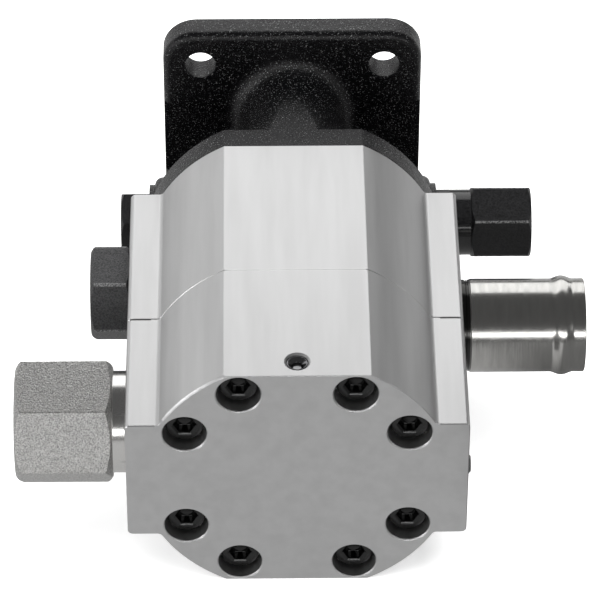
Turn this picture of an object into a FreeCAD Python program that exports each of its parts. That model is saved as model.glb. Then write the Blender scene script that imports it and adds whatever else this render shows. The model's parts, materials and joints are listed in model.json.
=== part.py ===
import FreeCAD, Part
import math
import os
import re
import Sketcher
from FreeCAD import Placement, Rotation, Vector

# Two-stage hydraulic gear pump, millimetres.
# The origin is the centre of the mounting flange's face on the drive shaft's axis.
# +Y runs out along the shaft, +Z is up, and +X is the inlet's side.
# The casings lie behind the flange, so most places are given as a depth along -Y.

doc = FreeCAD.newDocument("two_stage_pump")
sheet = doc.addObject("Spreadsheet::Sheet", "sizes")

SIZES = [
    # Casings: two lengths of one extruded profile and a cast front cover
    ("body_radius", 40.9, "radius of the round sides of the extruded profile"),
    ("body_half_height", 36.3, "centre to the flat top and bottom"),
    ("ear_half_width", 44.7, "centre to the flat port faces on both sides"),
    ("ear_half_height", 19.4, "half the height of a port face"),
    ("ear_corner_radius", 1.4, "outer corners of a port face"),
    ("ear_root_radius", 1.5, "hollow corner between a port face's ledge and the round side"),
    ("edge_break", 0.2, "chamfer on the sawn ends of both housings"),
    ("filed_break", 0.5, "wider chamfer along the upper left arc of the rear face"),
    ("ear_relief", 0.5, "rear housing's ears set back from the front housing"),
    ("ear_relief_start", 38.4, "centre plane to the set-back part of an ear"),
    ("front_housing_length", 52.15, "large stage"),
    ("rear_housing_length", 41.9, "small stage"),
    ("end_wall", 9.0, "rear housing's closed end"),
    ("cover_length", 39.85, "mounting face to the front housing"),
    ("cover_plate", 6.9, "the cover's plate against the front housing"),
    # Mounting flange
    ("flange_width", 71.8, "square flange, side to side"),
    ("flange_thickness", 7.4, "at the bolt pads"),
    ("flange_corner_radius", 9.5, "corners of the square"),
    ("flange_edge_radius", 2.0, "rounded casting edge"),
    ("flange_band_half_height", 12.2, "sunken band across the back of the flange"),
    ("flange_band_depth", 1.2, "depth of the sunken band"),
    ("bolt_spacing", 51.0, "between flange hole centres"),
    ("bolt_hole_radius", 4.3, "flange holes"),
    ("pilot_radius", 22.6, "round spigot on the mounting face"),
    ("pilot_height", 6.3, "spigot's height"),
    ("pilot_chamfer", 0.8, "spigot's leading edge"),
    ("neck_radius", 14.2, "round ends of the oval neck"),
    ("neck_rise", 8.5, "centres of the neck's round ends above and below the shaft"),
    ("neck_fillet", 4.7, "hollow between neck and flange"),
    ("neck_flare", 1.6, "neck's growth towards the plate"),
    ("neck_flare_start", 18.5, "mounting face to the start of the flare"),
    # Shaft line and gears
    ("gear_centres", 27.0, "between the drive and driven gear axes"),
    ("tooth_count", 12, "teeth on every gear"),
    ("pressure_angle", 25.0, "degrees"),
    ("addendum", 2.1, "tooth height outside the pitch circle"),
    ("dedendum", 2.8, "tooth depth inside the pitch circle"),
    ("flank_relief", 0.12, "taken off each flank for backlash"),
    ("tip_gap", 0.3, "gear tips to the chamber wall"),
    ("side_gap", 0.3, "gear faces to the bearing blocks"),
    ("large_gear_width", 24.4, "large stage"),
    ("small_gear_width", 10.4, "small stage"),
    ("large_front_block", 13.4, "bearing block between cover and large gears"),
    ("small_front_block", 11.9, "bearing block between the stages, small side"),
    ("journal_radius", 7.9, "shafts in their bushes"),
    ("journal_gap", 0.05, "running clearance in the bushes"),
    ("bush_wall", 1.5, "thickness of a bearing bush"),
    ("bush_recess", 0.6, "bush below each face of its block"),
    ("block_gap", 0.04, "bearing block in its chamber"),
    ("shaft_radius", 6.35, "keyed shaft end"),
    ("shaft_reach", 38.1, "mounting face to the shaft's end"),
    ("shaft_shoulder", 6.8, "shoulder beyond the mounting face"),
    ("shaft_chamfer", 1.0, "shaft's end"),
    ("keyway_width", 3.2, "shaft keyway"),
    ("keyway_depth", 1.6, "shaft keyway"),
    ("keyway_length", 25.4, "shaft keyway"),
    ("gear_key_width", 3.2, "keys under the drive gears"),
    ("gear_key_height", 1.5, "key above the journal"),
    ("key_gap", 0.05, "around each gear key"),
    ("driven_end_gap", 0.8, "driven shaft ends to the walls behind them"),
    # Shaft seal
    ("seal_radius", 14.0, "seal pocket in the spigot"),
    ("seal_width", 7.0, "shaft seal"),
    ("seal_wall", 1.6, "shaft seal's outer ring"),
    ("seal_gap", 0.3, "seal lip to the shaft"),
    ("ring_thickness", 1.2, "retaining ring in front of the seal"),
    ("ring_depth", 1.0, "retaining ring into its groove"),
    ("shaft_bore_gap", 1.0, "cover's bore around the shaft"),
    # Housing screws and dowels
    ("screw_circle", 33.45, "radius of the screw pattern about the body's centre"),
    ("screw_low_angle", 29.25, "degrees above the horizontal"),
    ("screw_high_angle", 63.1, "degrees above the horizontal"),
    ("screw_radius", 3.0, "M6 thread"),
    ("screw_gap", 0.2, "clearance hole"),
    ("screw_head_radius", 5.0, "cap head"),
    ("screw_head_height", 6.0, "cap head"),
    ("screw_socket_width", 5.0, "hexagon socket across flats"),
    ("screw_socket_depth", 3.0, "hexagon socket"),
    ("screw_sink", 3.3, "head below the rear face"),
    ("screw_bite", 6.0, "thread in the cover"),
    ("counterbore_radius", 5.8, "head recess"),
    ("counterbore_chamfer", 0.35, "edge of the head recess"),
    ("dowel_radius", 2.0, "dowel pins"),
    ("dowel_length", 9.0, "dowel pins"),
    ("dowel_offset", 33.0, "dowel from the body's centre along X"),
    # Seals between the casings
    ("seal_groove_offset", 0.8, "chamber wall to the seal groove"),
    ("seal_groove_width", 1.5, "seal groove"),
    ("seal_groove_depth", 1.4, "seal groove"),
    # Inlet on the right
    ("inlet_offset", 18.75, "inlet's axis before the seam between the housings"),
    ("inlet_tube_radius", 12.7, "25.4 mm hose tube"),
    ("inlet_tube_wall", 1.9, "tube's wall"),
    ("inlet_tube_end", 78.5, "tube's tip from the centre plane"),
    ("inlet_socket_depth", 9.0, "tube in the housing"),
    ("inlet_bead_centre", 71.9, "hose bead"),
    ("inlet_bead_width", 5.7, "hose bead"),
    ("inlet_bead_height", 0.75, "hose bead above the tube"),
    ("inlet_tail_radius", 11.9, "tube inside the housing"),
    ("inlet_ring_width", 2.6, "grooved ring between the port face and the tube's full width"),
    ("inlet_ring_drop", 0.25, "ring below the tube's surface"),
    ("inlet_ring_groove", 0.4, "depth and width of the ring's grooves"),
    ("inlet_bore_radius", 9.8, "inlet passage in the housing"),
    ("tube_chamfer", 0.5, "tube's tip"),
    # Outlet on the left
    ("outlet_offset", 19.0, "outlet's axis behind the seam between the housings"),
    ("outlet_hex_width", 30.0, "across flats"),
    ("outlet_hex_inner", 48.5, "hexagon's inner end from the centre plane"),
    ("outlet_hex_outer", 74.2, "hexagon's outer end from the centre plane"),
    ("outlet_neck_radius", 13.5, "round neck against the port face"),
    ("outlet_thread_radius", 10.4, "thread in the housing"),
    ("outlet_thread_length", 11.0, "thread in the housing"),
    ("outlet_mouth_radius", 9.5, "threaded mouth"),
    ("outlet_mouth_length", 16.0, "threaded mouth"),
    ("outlet_mouth_chamfer", 1.3, "lead-in of the mouth"),
    ("outlet_bore_radius", 6.0, "passage through the adapter"),
    ("port_hex_tilt", 9.5, "degrees that outlet and check valve hexagons are turned"),
    ("unloader_hex_tilt", 20.5, "degrees that the unloading valve's hexagons are turned"),
    # Check valve on the left
    ("check_offset", 19.05, "check valve's axis behind the cover"),
    ("check_hex_width", 23.6, "across flats"),
    ("check_hex_length", 10.9, "hexagon"),
    ("check_thread_radius", 9.0, "thread in the housing"),
    ("check_thread_length", 8.7, "thread in the housing"),
    ("check_bore_radius", 7.0, "poppet's bore"),
    ("check_bore_end", 21.0, "bore's bottom from the centre plane"),
    ("check_seat_radius", 4.5, "passage the poppet closes"),
    ("poppet_length", 11.4, "poppet, tip to tail"),
    ("poppet_tip_radius", 3.0, "flat tip of the cone"),
    ("poppet_gap", 0.06, "poppet in its bore"),
    ("poppet_travel", 4.0, "opening stroke"),
    ("check_spring_seat", 5.0, "spring's pocket in the poppet's tail"),
    ("check_pocket_radius", 4.7, "spring's pocket in poppet and cap"),
    ("check_cap_bore", 15.0, "depth of the spring's pocket in the cap"),
    # Unloading valve across the cover
    ("unloader_depth", 23.3, "mounting face to the valve's axis"),
    ("unloader_drop", 18.6, "valve's axis below the shaft's"),
    ("unloader_boss_radius", 10.6, "cast boss along the valve"),
    ("unloader_collar_radius", 13.2, "thick ends of the boss"),
    ("unloader_collar_start", 33.0, "thick ends, from the centre plane"),
    ("unloader_collar_round", 2.2, "rounded rim of the thick ends"),
    ("unloader_boss_end", 38.7, "boss's shoulder from the centre plane"),
    ("unloader_face_end", 40.2, "machined end face from the centre plane"),
    ("unloader_face_radius", 11.1, "machined end face"),
    ("unloader_bore_radius", 6.0, "spool's bore"),
    ("spool_gap", 0.05, "spool in its bore"),
    ("spool_length", 48.0, "spool"),
    ("spool_land", 9.0, "spool's lands"),
    ("spool_waist_radius", 3.8, "between the lands"),
    ("spool_travel", 6.0, "unloading stroke"),
    ("spool_stem_radius", 2.2, "stem inside the spring"),
    ("spool_stem_length", 8.0, "stem inside the spring"),
    ("unloader_cap_thread_radius", 8.0, "cap's thread"),
    ("unloader_cap_thread_length", 10.0, "cap's thread"),
    ("unloader_cap_neck_radius", 9.25, "cap's round neck"),
    ("unloader_cap_neck_end", 50.0, "neck's end from the centre plane"),
    ("unloader_cap_end", 66.8, "cap's end from the centre plane"),
    ("unloader_cap_width", 19.3, "across flats"),
    ("unloader_cap_bore", 5.0, "spring's pocket radius"),
    ("unloader_cap_wall", 16.0, "solid end of the cap"),
    ("unloader_plug_radius", 7.0, "plug's thread"),
    ("unloader_plug_length", 7.6, "plug's thread"),
    ("unloader_plug_width", 17.0, "across flats"),
    ("unloader_plug_head", 8.0, "plug's hexagon"),
    # Springs and small seals
    ("wire_radius", 0.6, "spring wire"),
    ("coil_gap", 0.35, "spring to the pocket around it"),
    ("check_spring_turns", 6, "coils"),
    ("unloader_spring_turns", 8, "coils"),
    ("thread_gap", 0.05, "between a thread and its hole"),
    ("port_seal_wire", 0.9, "section radius of the ring seals under the hexagons"),
    # Drilled galleries and their plugs
    ("gallery_depth", 5.7, "drillings' axis from the rear face"),
    ("gallery_radius", 2.0, "drillings"),
    ("drain_radius", 1.6, "drains from the shafts' ends to the drillings"),
    ("gallery_plug_radius", 2.9, "plugs"),
    ("gallery_plug_length", 5.0, "plugs"),
    ("gallery_plug_sink", 0.5, "top plug below the flat"),
    ("gallery_plug_proud", 0.8, "side plug above the port face"),
    ("gallery_chamfer", 0.5, "edge of the plug's hole"),
    ("gallery_socket_radius", 1.3, "socket in the top plug"),
    ("gallery_socket_depth", 2.0, "socket in the top plug"),
    ("cross_gallery_offset", 27.0, "galleries along the body, from the centre plane"),
    ("cross_gallery_radius", 2.8, "galleries along the body"),
    ("inlet_slot_half_height", 4.0, "slot that feeds the small stage"),
    ("inlet_slot_depth", 17.0, "slot that feeds the small stage, from the seam"),
]

for row, (alias, value, note) in enumerate(SIZES, start=1):
    sheet.set(f"A{row}", note)
    sheet.set(f"B{row}", str(value))
    sheet.setAlias(f"B{row}", alias)
doc.recompute()

# Sizes that follow from the sheet. Each is written once and used by name.
FITS = {
    "cover_seam": "cover_length",
    "middle_seam": "cover_length + front_housing_length",
    "rear_face": "cover_length + front_housing_length + rear_housing_length",
    "plate_front": "cover_length - cover_plate",
    "check_depth": "cover_seam + check_offset",
    "inlet_depth": "middle_seam - inlet_offset",
    "outlet_depth": "middle_seam + outlet_offset",
    "driven_drop": "gear_centres",
    "body_drop": "gear_centres / 2",
    "pitch_radius": "gear_centres / 2",
    "tip_radius": "pitch_radius + addendum",
    "chamber_radius": "tip_radius + tip_gap",
    "chamber_end": "rear_face - end_wall",
    "large_gear_start": "cover_seam + large_front_block + side_gap",
    "large_gear_end": "large_gear_start + large_gear_width",
    "small_gear_start": "middle_seam + small_front_block + side_gap",
    "small_gear_end": "small_gear_start + small_gear_width",
    "bush_inner": "journal_radius + journal_gap",
    "bush_outer": "bush_inner + bush_wall",
    "shaft_bore": "journal_radius + shaft_bore_gap",
    "seal_pocket": "seal_width + ring_thickness + ring_depth",
    "groove_inner": "chamber_radius + seal_groove_offset",
    "groove_outer": "groove_inner + seal_groove_width",
    "flat_half_width": "sqrt(body_radius ^ 2 - body_half_height ^ 2)",
    "ledge_half_width": "sqrt(body_radius ^ 2 - ear_half_height ^ 2)",
    "poppet_radius": "check_bore_radius - poppet_gap",
    "spool_radius": "unloader_bore_radius - spool_gap",
    "spool_start": "unloader_plug_length + spool_gap - unloader_face_end",
    "spool_end": "spool_start + spool_length",
    "check_thread_end": "ear_half_width - check_thread_length",
    "unloader_cap_floor": "unloader_cap_end - unloader_cap_wall",
}


def bound(text):
    """The expression with every named size traced back to the sheet."""

    def place(match):
        word = match.group(0)
        if word in FITS:
            return "(" + bound(FITS[word]) + ")"
        if word in ALIASES:
            return "sizes." + word
        return word

    return re.sub(r"[a-z]+(?:_[a-z]+)*", place, text)


ALIASES = {alias for alias, value, note in SIZES}


def size(text):
    """The number that an expression of named sizes comes to."""
    return float(sheet.evalExpression(bound(text)))


def own_plane(body, role):
    """One of the body's own origin planes."""
    for feature in body.Origin.OriginFeatures:
        if feature.Role == role:
            return feature


def new_body(name):
    body = doc.addObject("PartDesign::Body", name)
    body.Label = name
    return body


def new_sketch(body, name, role, place=("0", "0", "0")):
    """A sketch on an own plane, moved by three expressions in the plane's axes."""
    sketch = body.newObject("Sketcher::SketchObject", name)
    sketch.AttachmentSupport = [(own_plane(body, role), "")]
    sketch.MapMode = "FlatFace"
    for axis, text in zip("xyz", place):
        if text != "0":
            sketch.setExpression(f"AttachmentOffset.Base.{axis}", bound(text))
    return sketch


def pin_point(sketch, geometry, end, across, up):
    """Hold one point of the sketch at two expressions."""
    for kind, text, axis in (("DistanceX", across, -2), ("DistanceY", up, -1)):
        if text == "0":
            sketch.addConstraint(Sketcher.Constraint("PointOnObject", geometry, end, axis))
        else:
            index = sketch.addConstraint(Sketcher.Constraint(kind, -1, 1, geometry, end, size(text)))
            sketch.setExpression(f"Constraints[{index}]", bound(text))


def draw_circle(sketch, across, up, radius):
    centre = Vector(size(across), size(up), 0)
    geometry = sketch.addGeometry(Part.Circle(centre, Vector(0, 0, 1), size(radius)), False)
    pin_point(sketch, geometry, 3, across, up)
    index = sketch.addConstraint(Sketcher.Constraint("Radius", geometry, size(radius)))
    sketch.setExpression(f"Constraints[{index}]", bound(radius))


def arc_through(start, end, radius, turn):
    """An arc of a given radius; turn is 1 where it runs anticlockwise."""
    middle = (start + end) * 0.5
    half = end - middle
    rise = math.sqrt(max(radius ** 2 - half.Length ** 2, 0))
    across = Vector(-half.y, half.x, 0).normalize()
    centre = middle + across * rise * turn
    bulge = middle - centre
    if bulge.Length < 1e-6:
        bulge = across * -turn
    return Part.Arc(start, centre + bulge.normalize() * radius, end)


def draw_outline(sketch, points, arcs=None):
    """A closed outline; arcs maps a point's index to the radius and turn of the arc after it."""
    arcs = arcs or {}
    ends = [Vector(size(across), size(up), 0) for across, up in points]
    total = len(points)
    pieces = []
    for index, (across, up) in enumerate(points):
        start = ends[index]
        end = ends[(index + 1) % total]
        if index in arcs:
            radius, turn = arcs[index]
            curve = arc_through(start, end, size(radius), turn)
            geometry = sketch.addGeometry(curve, False)
            first, last = (1, 2) if turn > 0 else (2, 1)
            fixed = sketch.addConstraint(Sketcher.Constraint("Radius", geometry, size(radius)))
            sketch.setExpression(f"Constraints[{fixed}]", bound(radius))
        else:
            geometry = sketch.addGeometry(Part.LineSegment(start, end), False)
            first, last = 1, 2
        pin_point(sketch, geometry, first, across, up)
        pieces.append((geometry, first, last))
    for index in range(total):
        geometry, first, last = pieces[index]
        following, start, end = pieces[(index + 1) % total]
        sketch.addConstraint(Sketcher.Constraint("Coincident", geometry, last, following, start))


def extrude(body, sketch, length, cut=False, back=False):
    """Pad or pocket a sketch; back turns it round."""
    kind = "PartDesign::Pocket" if cut else "PartDesign::Pad"
    feature = body.newObject(kind, f"{sketch.Name}_{'cut' if cut else 'solid'}")
    feature.Profile = sketch
    feature.setExpression("Length", bound(length))
    feature.Reversed = back
    settle(feature)
    return feature


def settle(feature):
    doc.recompute()
    if "Invalid" in feature.State or feature.Shape.isNull():
        raise RuntimeError(f"{feature.Name} has no shape")


def turned(body, name, along, centre, points, arcs=None, cut=False):
    """Revolve (station, radius) points about an axis along X or Y through centre.

    centre is (y, z) for an axis along X, and (x, z) for one along Y.
    """
    if along == "X":
        sketch = new_sketch(body, name, "XY_Plane", ("0", centre[0], centre[1]))
        draw_outline(sketch, points, arcs)
    else:
        sketch = new_sketch(body, name, "XY_Plane", (centre[0], "0", centre[1]))
        draw_outline(sketch, [(radius, station) for station, radius in points], arcs)
    kind = "PartDesign::Groove" if cut else "PartDesign::Revolution"
    feature = body.newObject(kind, f"{name}_{'cut' if cut else 'solid'}")
    feature.Profile = sketch
    feature.ReferenceAxis = (sketch, ["H_Axis" if along == "X" else "V_Axis"])
    feature.Angle = 360.0
    settle(feature)
    return feature


def drilled(body, name, along, centre, start, end, radius):
    """A straight round hole between two stations."""
    points = [(start, "0"), (start, radius), (end, radius), (end, "0")]
    return turned(body, name, along, centre, points, cut=True)


def edge_names(shape, test):
    return [f"Edge{index}" for index, edge in enumerate(shape.Edges, start=1) if test(edge)]


def dress(body, kind, name, edges, amount):
    """Fillet or chamfer named edges of the body's last feature."""
    base = body.Tip
    feature = body.newObject(f"PartDesign::{kind}", name)
    feature.Base = (base, edges)
    feature.setExpression("Radius" if kind == "Fillet" else "Size", bound(amount))
    settle(feature)
    return feature


def outer_edges(shape, depth):
    """Edges round the outside of the flat face at a depth behind the mounting face."""
    faces = [face for face in shape.Faces
             if face.BoundBox.YLength < 1e-4 and abs(face.BoundBox.YMin + depth) < 1e-3]
    widest = max(faces, key=lambda face: face.BoundBox.DiagonalLength)
    rim = widest.OuterWire.Edges
    return edge_names(shape, lambda edge: any(edge.isSame(other) for other in rim))


def profile_points(with_ears):
    """Outline of the extruded casings about the body's centre, anticlockwise from the right."""
    low = "-body_drop - "
    high = "-body_drop + "
    if with_ears:
        points = [
            ("ear_half_width", low + "ear_half_height"),
            ("ear_half_width", high + "ear_half_height"),
            ("ledge_half_width", high + "ear_half_height"),
            ("flat_half_width", high + "body_half_height"),
            ("-flat_half_width", high + "body_half_height"),
            ("-ledge_half_width", high + "ear_half_height"),
            ("-ear_half_width", high + "ear_half_height"),
            ("-ear_half_width", low + "ear_half_height"),
            ("-ledge_half_width", low + "ear_half_height"),
            ("-flat_half_width", low + "body_half_height"),
            ("flat_half_width", low + "body_half_height"),
            ("ledge_half_width", low + "ear_half_height"),
        ]
        arcs = {2: ("body_radius", 1), 4: ("body_radius", 1),
                8: ("body_radius", 1), 10: ("body_radius", 1)}
        return points, arcs
    points = [
        ("flat_half_width", high + "body_half_height"),
        ("-flat_half_width", high + "body_half_height"),
        ("-flat_half_width", low + "body_half_height"),
        ("flat_half_width", low + "body_half_height"),
    ]
    return points, {1: ("body_radius", 1), 3: ("body_radius", 1)}


def runs_along_shaft(edge, across, up):
    """True for an edge along Y through a place given from the body's centre, on either side."""
    box = edge.BoundBox
    if box.YLength < 5 or box.XLength > 1e-3 or box.ZLength > 1e-3:
        return False
    height = abs(box.ZMin + size("body_drop"))
    return abs(abs(box.XMin) - across) < 1e-2 and abs(height - up) < 1e-2


def housing_blank(name, start, length):
    """A length of the extruded profile, with its corners rounded."""
    body = new_body(name)
    sketch = new_sketch(body, f"{name}_profile", "XZ_Plane", ("0", "0", start))
    points, arcs = profile_points(True)
    draw_outline(sketch, points, arcs)
    blank = extrude(body, sketch, length)
    ear, ledge = size("ear_half_width"), size("ledge_half_width")
    height = size("ear_half_height")
    corners = edge_names(blank.Shape, lambda edge: runs_along_shaft(edge, ear, height))
    outer = dress(body, "Fillet", f"{name}_ear_corners", corners, "ear_corner_radius")
    roots = edge_names(outer.Shape, lambda edge: runs_along_shaft(edge, ledge, height))
    dress(body, "Fillet", f"{name}_ear_roots", roots, "ear_root_radius")
    return body


def chamfer_ends(body, name, depths):
    for index, depth in enumerate(depths, start=1):
        edges = outer_edges(body.Tip.Shape, size(depth))
        dress(body, "Chamfer", f"{name}_end_{index}", edges, "edge_break")


def file_edge(body):
    """Break the rear edge of the upper left arc wider than the others, as far as the ear's ledge."""
    sketch = new_sketch(body, "filed_edge", "YZ_Plane", ("0", "-body_drop", "0"))
    draw_outline(sketch, [("-rear_face - 1", "body_radius - filed_break - 1"),
                          ("-rear_face + filed_break + 1", "body_radius + 1"),
                          ("-rear_face - 1", "body_radius + 1")])
    feature = body.newObject("PartDesign::Groove", "filed_edge_cut")
    feature.Profile = sketch
    feature.ReferenceAxis = (sketch, ["H_Axis"])
    feature.setExpression("Angle", bound("0.96 * acos(ear_half_height / body_radius)"))
    feature.Reversed = True
    settle(feature)


def relieve_ears(body):
    """Set the front ends of the rear housing's ears back, which leaves a thin slot at the seam."""
    for word, inner, outer in (("right", "ear_relief_start", "ear_half_width + 1"),
                               ("left", "-ear_half_width - 1", "-ear_relief_start")):
        slot = new_sketch(body, f"ear_relief_{word}", "XZ_Plane", ("0", "0", "middle_seam"))
        draw_outline(slot, [(inner, "-body_drop - ear_half_height - 1"),
                            (outer, "-body_drop - ear_half_height - 1"),
                            (outer, "-body_drop + ear_half_height + 1"),
                            (inner, "-body_drop + ear_half_height + 1")])
        extrude(body, slot, "ear_relief", cut=True, back=True)


SCREW_PLACES = [
    (f"{across} * screw_circle * cos({angle})", f"-body_drop + {up} * screw_circle * sin({angle})")
    for angle in ("screw_low_angle", "screw_high_angle")
    for across in ("1", "-1")
    for up in ("1", "-1")
]


def screw_holes(body, name, start, length, radius):
    """The eight screw holes, cut backwards from a depth behind the mounting face."""
    sketch = new_sketch(body, name, "XZ_Plane", ("0", "0", start))
    for across, up in SCREW_PLACES:
        draw_circle(sketch, across, up, radius)
    return extrude(body, sketch, length, cut=True, back=True)


def dowel_holes(body, name, start, length):
    sketch = new_sketch(body, name, "XZ_Plane", ("0", "0", start))
    for side in ("", "-"):
        draw_circle(sketch, f"{side}dowel_offset", "-body_drop", "dowel_radius + thread_gap")
    return extrude(body, sketch, length, cut=True, back=True)


def chambers(body, name, start, length):
    """Two overlapping round chambers, one for each gear."""
    for word, up in (("drive", "0"), ("driven", "-driven_drop")):
        sketch = new_sketch(body, f"{name}_{word}", "XZ_Plane", ("0", "0", start))
        draw_circle(sketch, "0", up, "chamber_radius")
        extrude(body, sketch, length, cut=True, back=True)


def racetrack(sketch, radius):
    """Two half rounds about the gear axes, joined by straight sides."""
    reach = size(radius)
    rounds = []
    for up, start, end in (("0", 0, math.pi), ("-driven_drop", math.pi, 2 * math.pi)):
        circle = Part.Circle(Vector(0, size(up), 0), Vector(0, 0, 1), reach)
        geometry = sketch.addGeometry(Part.ArcOfCircle(circle, start, end), False)
        pin_point(sketch, geometry, 3, "0", up)
        index = sketch.addConstraint(Sketcher.Constraint("Radius", geometry, reach))
        sketch.setExpression(f"Constraints[{index}]", bound(radius))
        for end_point in (1, 2):
            sketch.addConstraint(Sketcher.Constraint("Horizontal", geometry, end_point, geometry, 3))
        rounds.append(geometry)
    low = size("-driven_drop")
    for side, upper_end, lower_end in ((1, 1, 2), (-1, 2, 1)):
        line = Part.LineSegment(Vector(side * reach, 0, 0), Vector(side * reach, low, 0))
        geometry = sketch.addGeometry(line, False)
        sketch.addConstraint(Sketcher.Constraint("Coincident", geometry, 1, rounds[0], upper_end))
        sketch.addConstraint(Sketcher.Constraint("Coincident", geometry, 2, rounds[1], lower_end))


def seal_ring(name, start):
    body = new_body(name)
    sketch = new_sketch(body, f"{name}_outline", "XZ_Plane", ("0", "0", start))
    racetrack(sketch, "groove_outer")
    racetrack(sketch, "groove_inner")
    extrude(body, sketch, "seal_groove_depth")
    return body


def seal_groove(body, name, start):
    sketch = new_sketch(body, name, "XZ_Plane", ("0", "0", start))
    racetrack(sketch, "groove_outer")
    racetrack(sketch, "groove_inner")
    return extrude(body, sketch, "seal_groove_depth", cut=True, back=True)


def hexagon(body, name, centre, start, length, width, tilt):
    """A hexagonal bar along X from start, about (y, z), turned by tilt degrees."""
    sketch = new_sketch(body, name, "YZ_Plane", (centre[0], centre[1], start))
    corner = f"{width} / sqrt(3)"
    angles = [f"{tilt} + {60 * step}" for step in range(6)]
    draw_outline(sketch, [(f"{corner} * cos({angle})", f"{corner} * sin({angle})") for angle in angles])
    return extrude(body, sketch, length)


def break_corners(body, name, centre, end, inward, width, bite):
    """Turn a 30 degree chamfer on the corners at one end of a hexagon along X."""
    touch = f"({width}) / 2 * {bite}"
    outside = f"({width}) * 0.7"
    reach = f"(({outside}) - ({touch})) * tan(30)"
    points = [(end, touch), (end, outside), (f"{end} {inward} {reach}", outside)]
    return turned(body, name, "X", centre, points, cut=True)


def ring_seal(name, centre, station, radius):
    """A round ring seal about an axis along X."""
    ring = doc.addObject("Part::Torus", name)
    ring.Label = name
    ring.setExpression("Radius1", bound(radius))
    ring.setExpression("Radius2", bound("port_seal_wire"))
    ring.Placement = Placement(Vector(0, 0, 0), Rotation(Vector(0, 1, 0), 90))
    ring.setExpression("Placement.Base.x", bound(station))
    ring.setExpression("Placement.Base.y", bound(centre[0]))
    ring.setExpression("Placement.Base.z", bound(centre[1]))
    return ring


def solid_feature(name, shape, place=Vector(0, 0, 0), turn=Rotation()):
    feature = doc.addObject("Part::Feature", name)
    feature.Label = name
    feature.Shape = shape
    feature.Placement = Placement(place, turn)
    return feature


INLET = ("-inlet_depth", "-body_drop")
OUTLET = ("-outlet_depth", "-body_drop")
CHECK = ("-check_depth", "-body_drop")
UNLOADER = ("-unloader_depth", "-unloader_drop")
SHAFT = ("0", "0")
DRIVEN = ("0", "-driven_drop")


def port_seal_seat(body, name, centre, face, inward, radius):
    """A chamfered seat at the mouth of a threaded port for its ring seal."""
    deep = f"{face} {inward} 2 * port_seal_wire"
    wide = f"{radius} + 2 * port_seal_wire"
    points = [(face, "0"), (face, wide), (deep, wide), (deep, "0")]
    return turned(body, name, "X", centre, points, cut=True)


def make_front_housing():
    body = housing_blank("front_housing", "cover_seam", "front_housing_length")
    chamfer_ends(body, "front_housing", ("cover_seam", "middle_seam"))
    chambers(body, "large_chamber", "cover_seam", "front_housing_length")
    screw_holes(body, "front_screw_holes", "cover_seam", "front_housing_length",
                "screw_radius + screw_gap")
    dowel_holes(body, "front_dowels", "cover_seam", "dowel_length / 2")
    dowel_holes(body, "front_rear_dowels", "middle_seam - dowel_length / 2", "dowel_length / 2")
    seal_groove(body, "cover_seal_groove", "cover_seam")
    drilled(body, "inlet_passage", "X", INLET, "0", "ear_half_width", "inlet_bore_radius")
    drilled(body, "inlet_socket", "X", INLET, "ear_half_width - inlet_socket_depth",
            "ear_half_width", "inlet_tail_radius + thread_gap")
    check_port = [
        ("-ear_half_width", "0"),
        ("-ear_half_width", "check_thread_radius + thread_gap"),
        ("-check_thread_end", "check_thread_radius + thread_gap"),
        ("-check_thread_end", "check_bore_radius"),
        ("-check_bore_end", "check_bore_radius"),
        ("-check_bore_end", "check_seat_radius"),
        ("0", "check_seat_radius"),
        ("0", "0"),
    ]
    turned(body, "check_port", "X", CHECK, check_port, cut=True)
    port_seal_seat(body, "check_port_seat", CHECK, "-ear_half_width", "+", "check_thread_radius")
    drilled(body, "pressure_gallery", "Y", ("-cross_gallery_offset", "-body_drop"),
            "-check_depth", "-middle_seam", "cross_gallery_radius")
    drilled(body, "suction_gallery", "Y", ("cross_gallery_offset", "-body_drop"),
            "-inlet_depth", "-middle_seam", "inlet_slot_half_height")
    return body


def make_rear_housing():
    body = housing_blank("rear_housing", "middle_seam", "rear_housing_length")
    chamfer_ends(body, "rear_housing", ("middle_seam", "rear_face"))
    file_edge(body)
    relieve_ears(body)
    chambers(body, "small_chamber", "middle_seam", "chamber_end - middle_seam")
    screw_holes(body, "rear_screw_holes", "middle_seam", "rear_housing_length",
                "screw_radius + screw_gap")
    sunk = "screw_sink + screw_head_height"
    screw_holes(body, "counterbores", f"rear_face - ({sunk})", sunk, "counterbore_radius")
    rims = edge_names(body.Tip.Shape, lambda edge: counterbore_rim(edge))
    dress(body, "Chamfer", "counterbore_edges", rims, "counterbore_chamfer")
    dowel_holes(body, "rear_dowels", "middle_seam", "dowel_length / 2")
    seal_groove(body, "middle_seal_groove", "middle_seam")
    face = "-ear_half_width"
    outlet_port = [
        (face, "0"),
        (face, "outlet_thread_radius + thread_gap"),
        (f"{face} + outlet_thread_length + 1", "outlet_thread_radius + thread_gap"),
        (f"{face} + outlet_thread_length + 1", "outlet_bore_radius"),
        ("0", "outlet_bore_radius"),
        ("0", "0"),
    ]
    turned(body, "outlet_port", "X", OUTLET, outlet_port, cut=True)
    port_seal_seat(body, "outlet_port_seat", OUTLET, face, "+", "outlet_thread_radius")
    drilled(body, "pressure_gallery_rear", "Y", ("-cross_gallery_offset", "-body_drop"),
            "-middle_seam", "-outlet_depth", "cross_gallery_radius")
    slot = new_sketch(body, "suction_slot", "XZ_Plane", ("0", "0", "middle_seam"))
    right = "cross_gallery_offset + inlet_slot_half_height"
    draw_outline(slot, [("0", "-body_drop - inlet_slot_half_height"),
                        (right, "-body_drop - inlet_slot_half_height"),
                        (right, "-body_drop + inlet_slot_half_height"),
                        ("0", "-body_drop + inlet_slot_half_height")])
    extrude(body, slot, "inlet_slot_depth", cut=True, back=True)
    drill_galleries(body)
    return body


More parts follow.
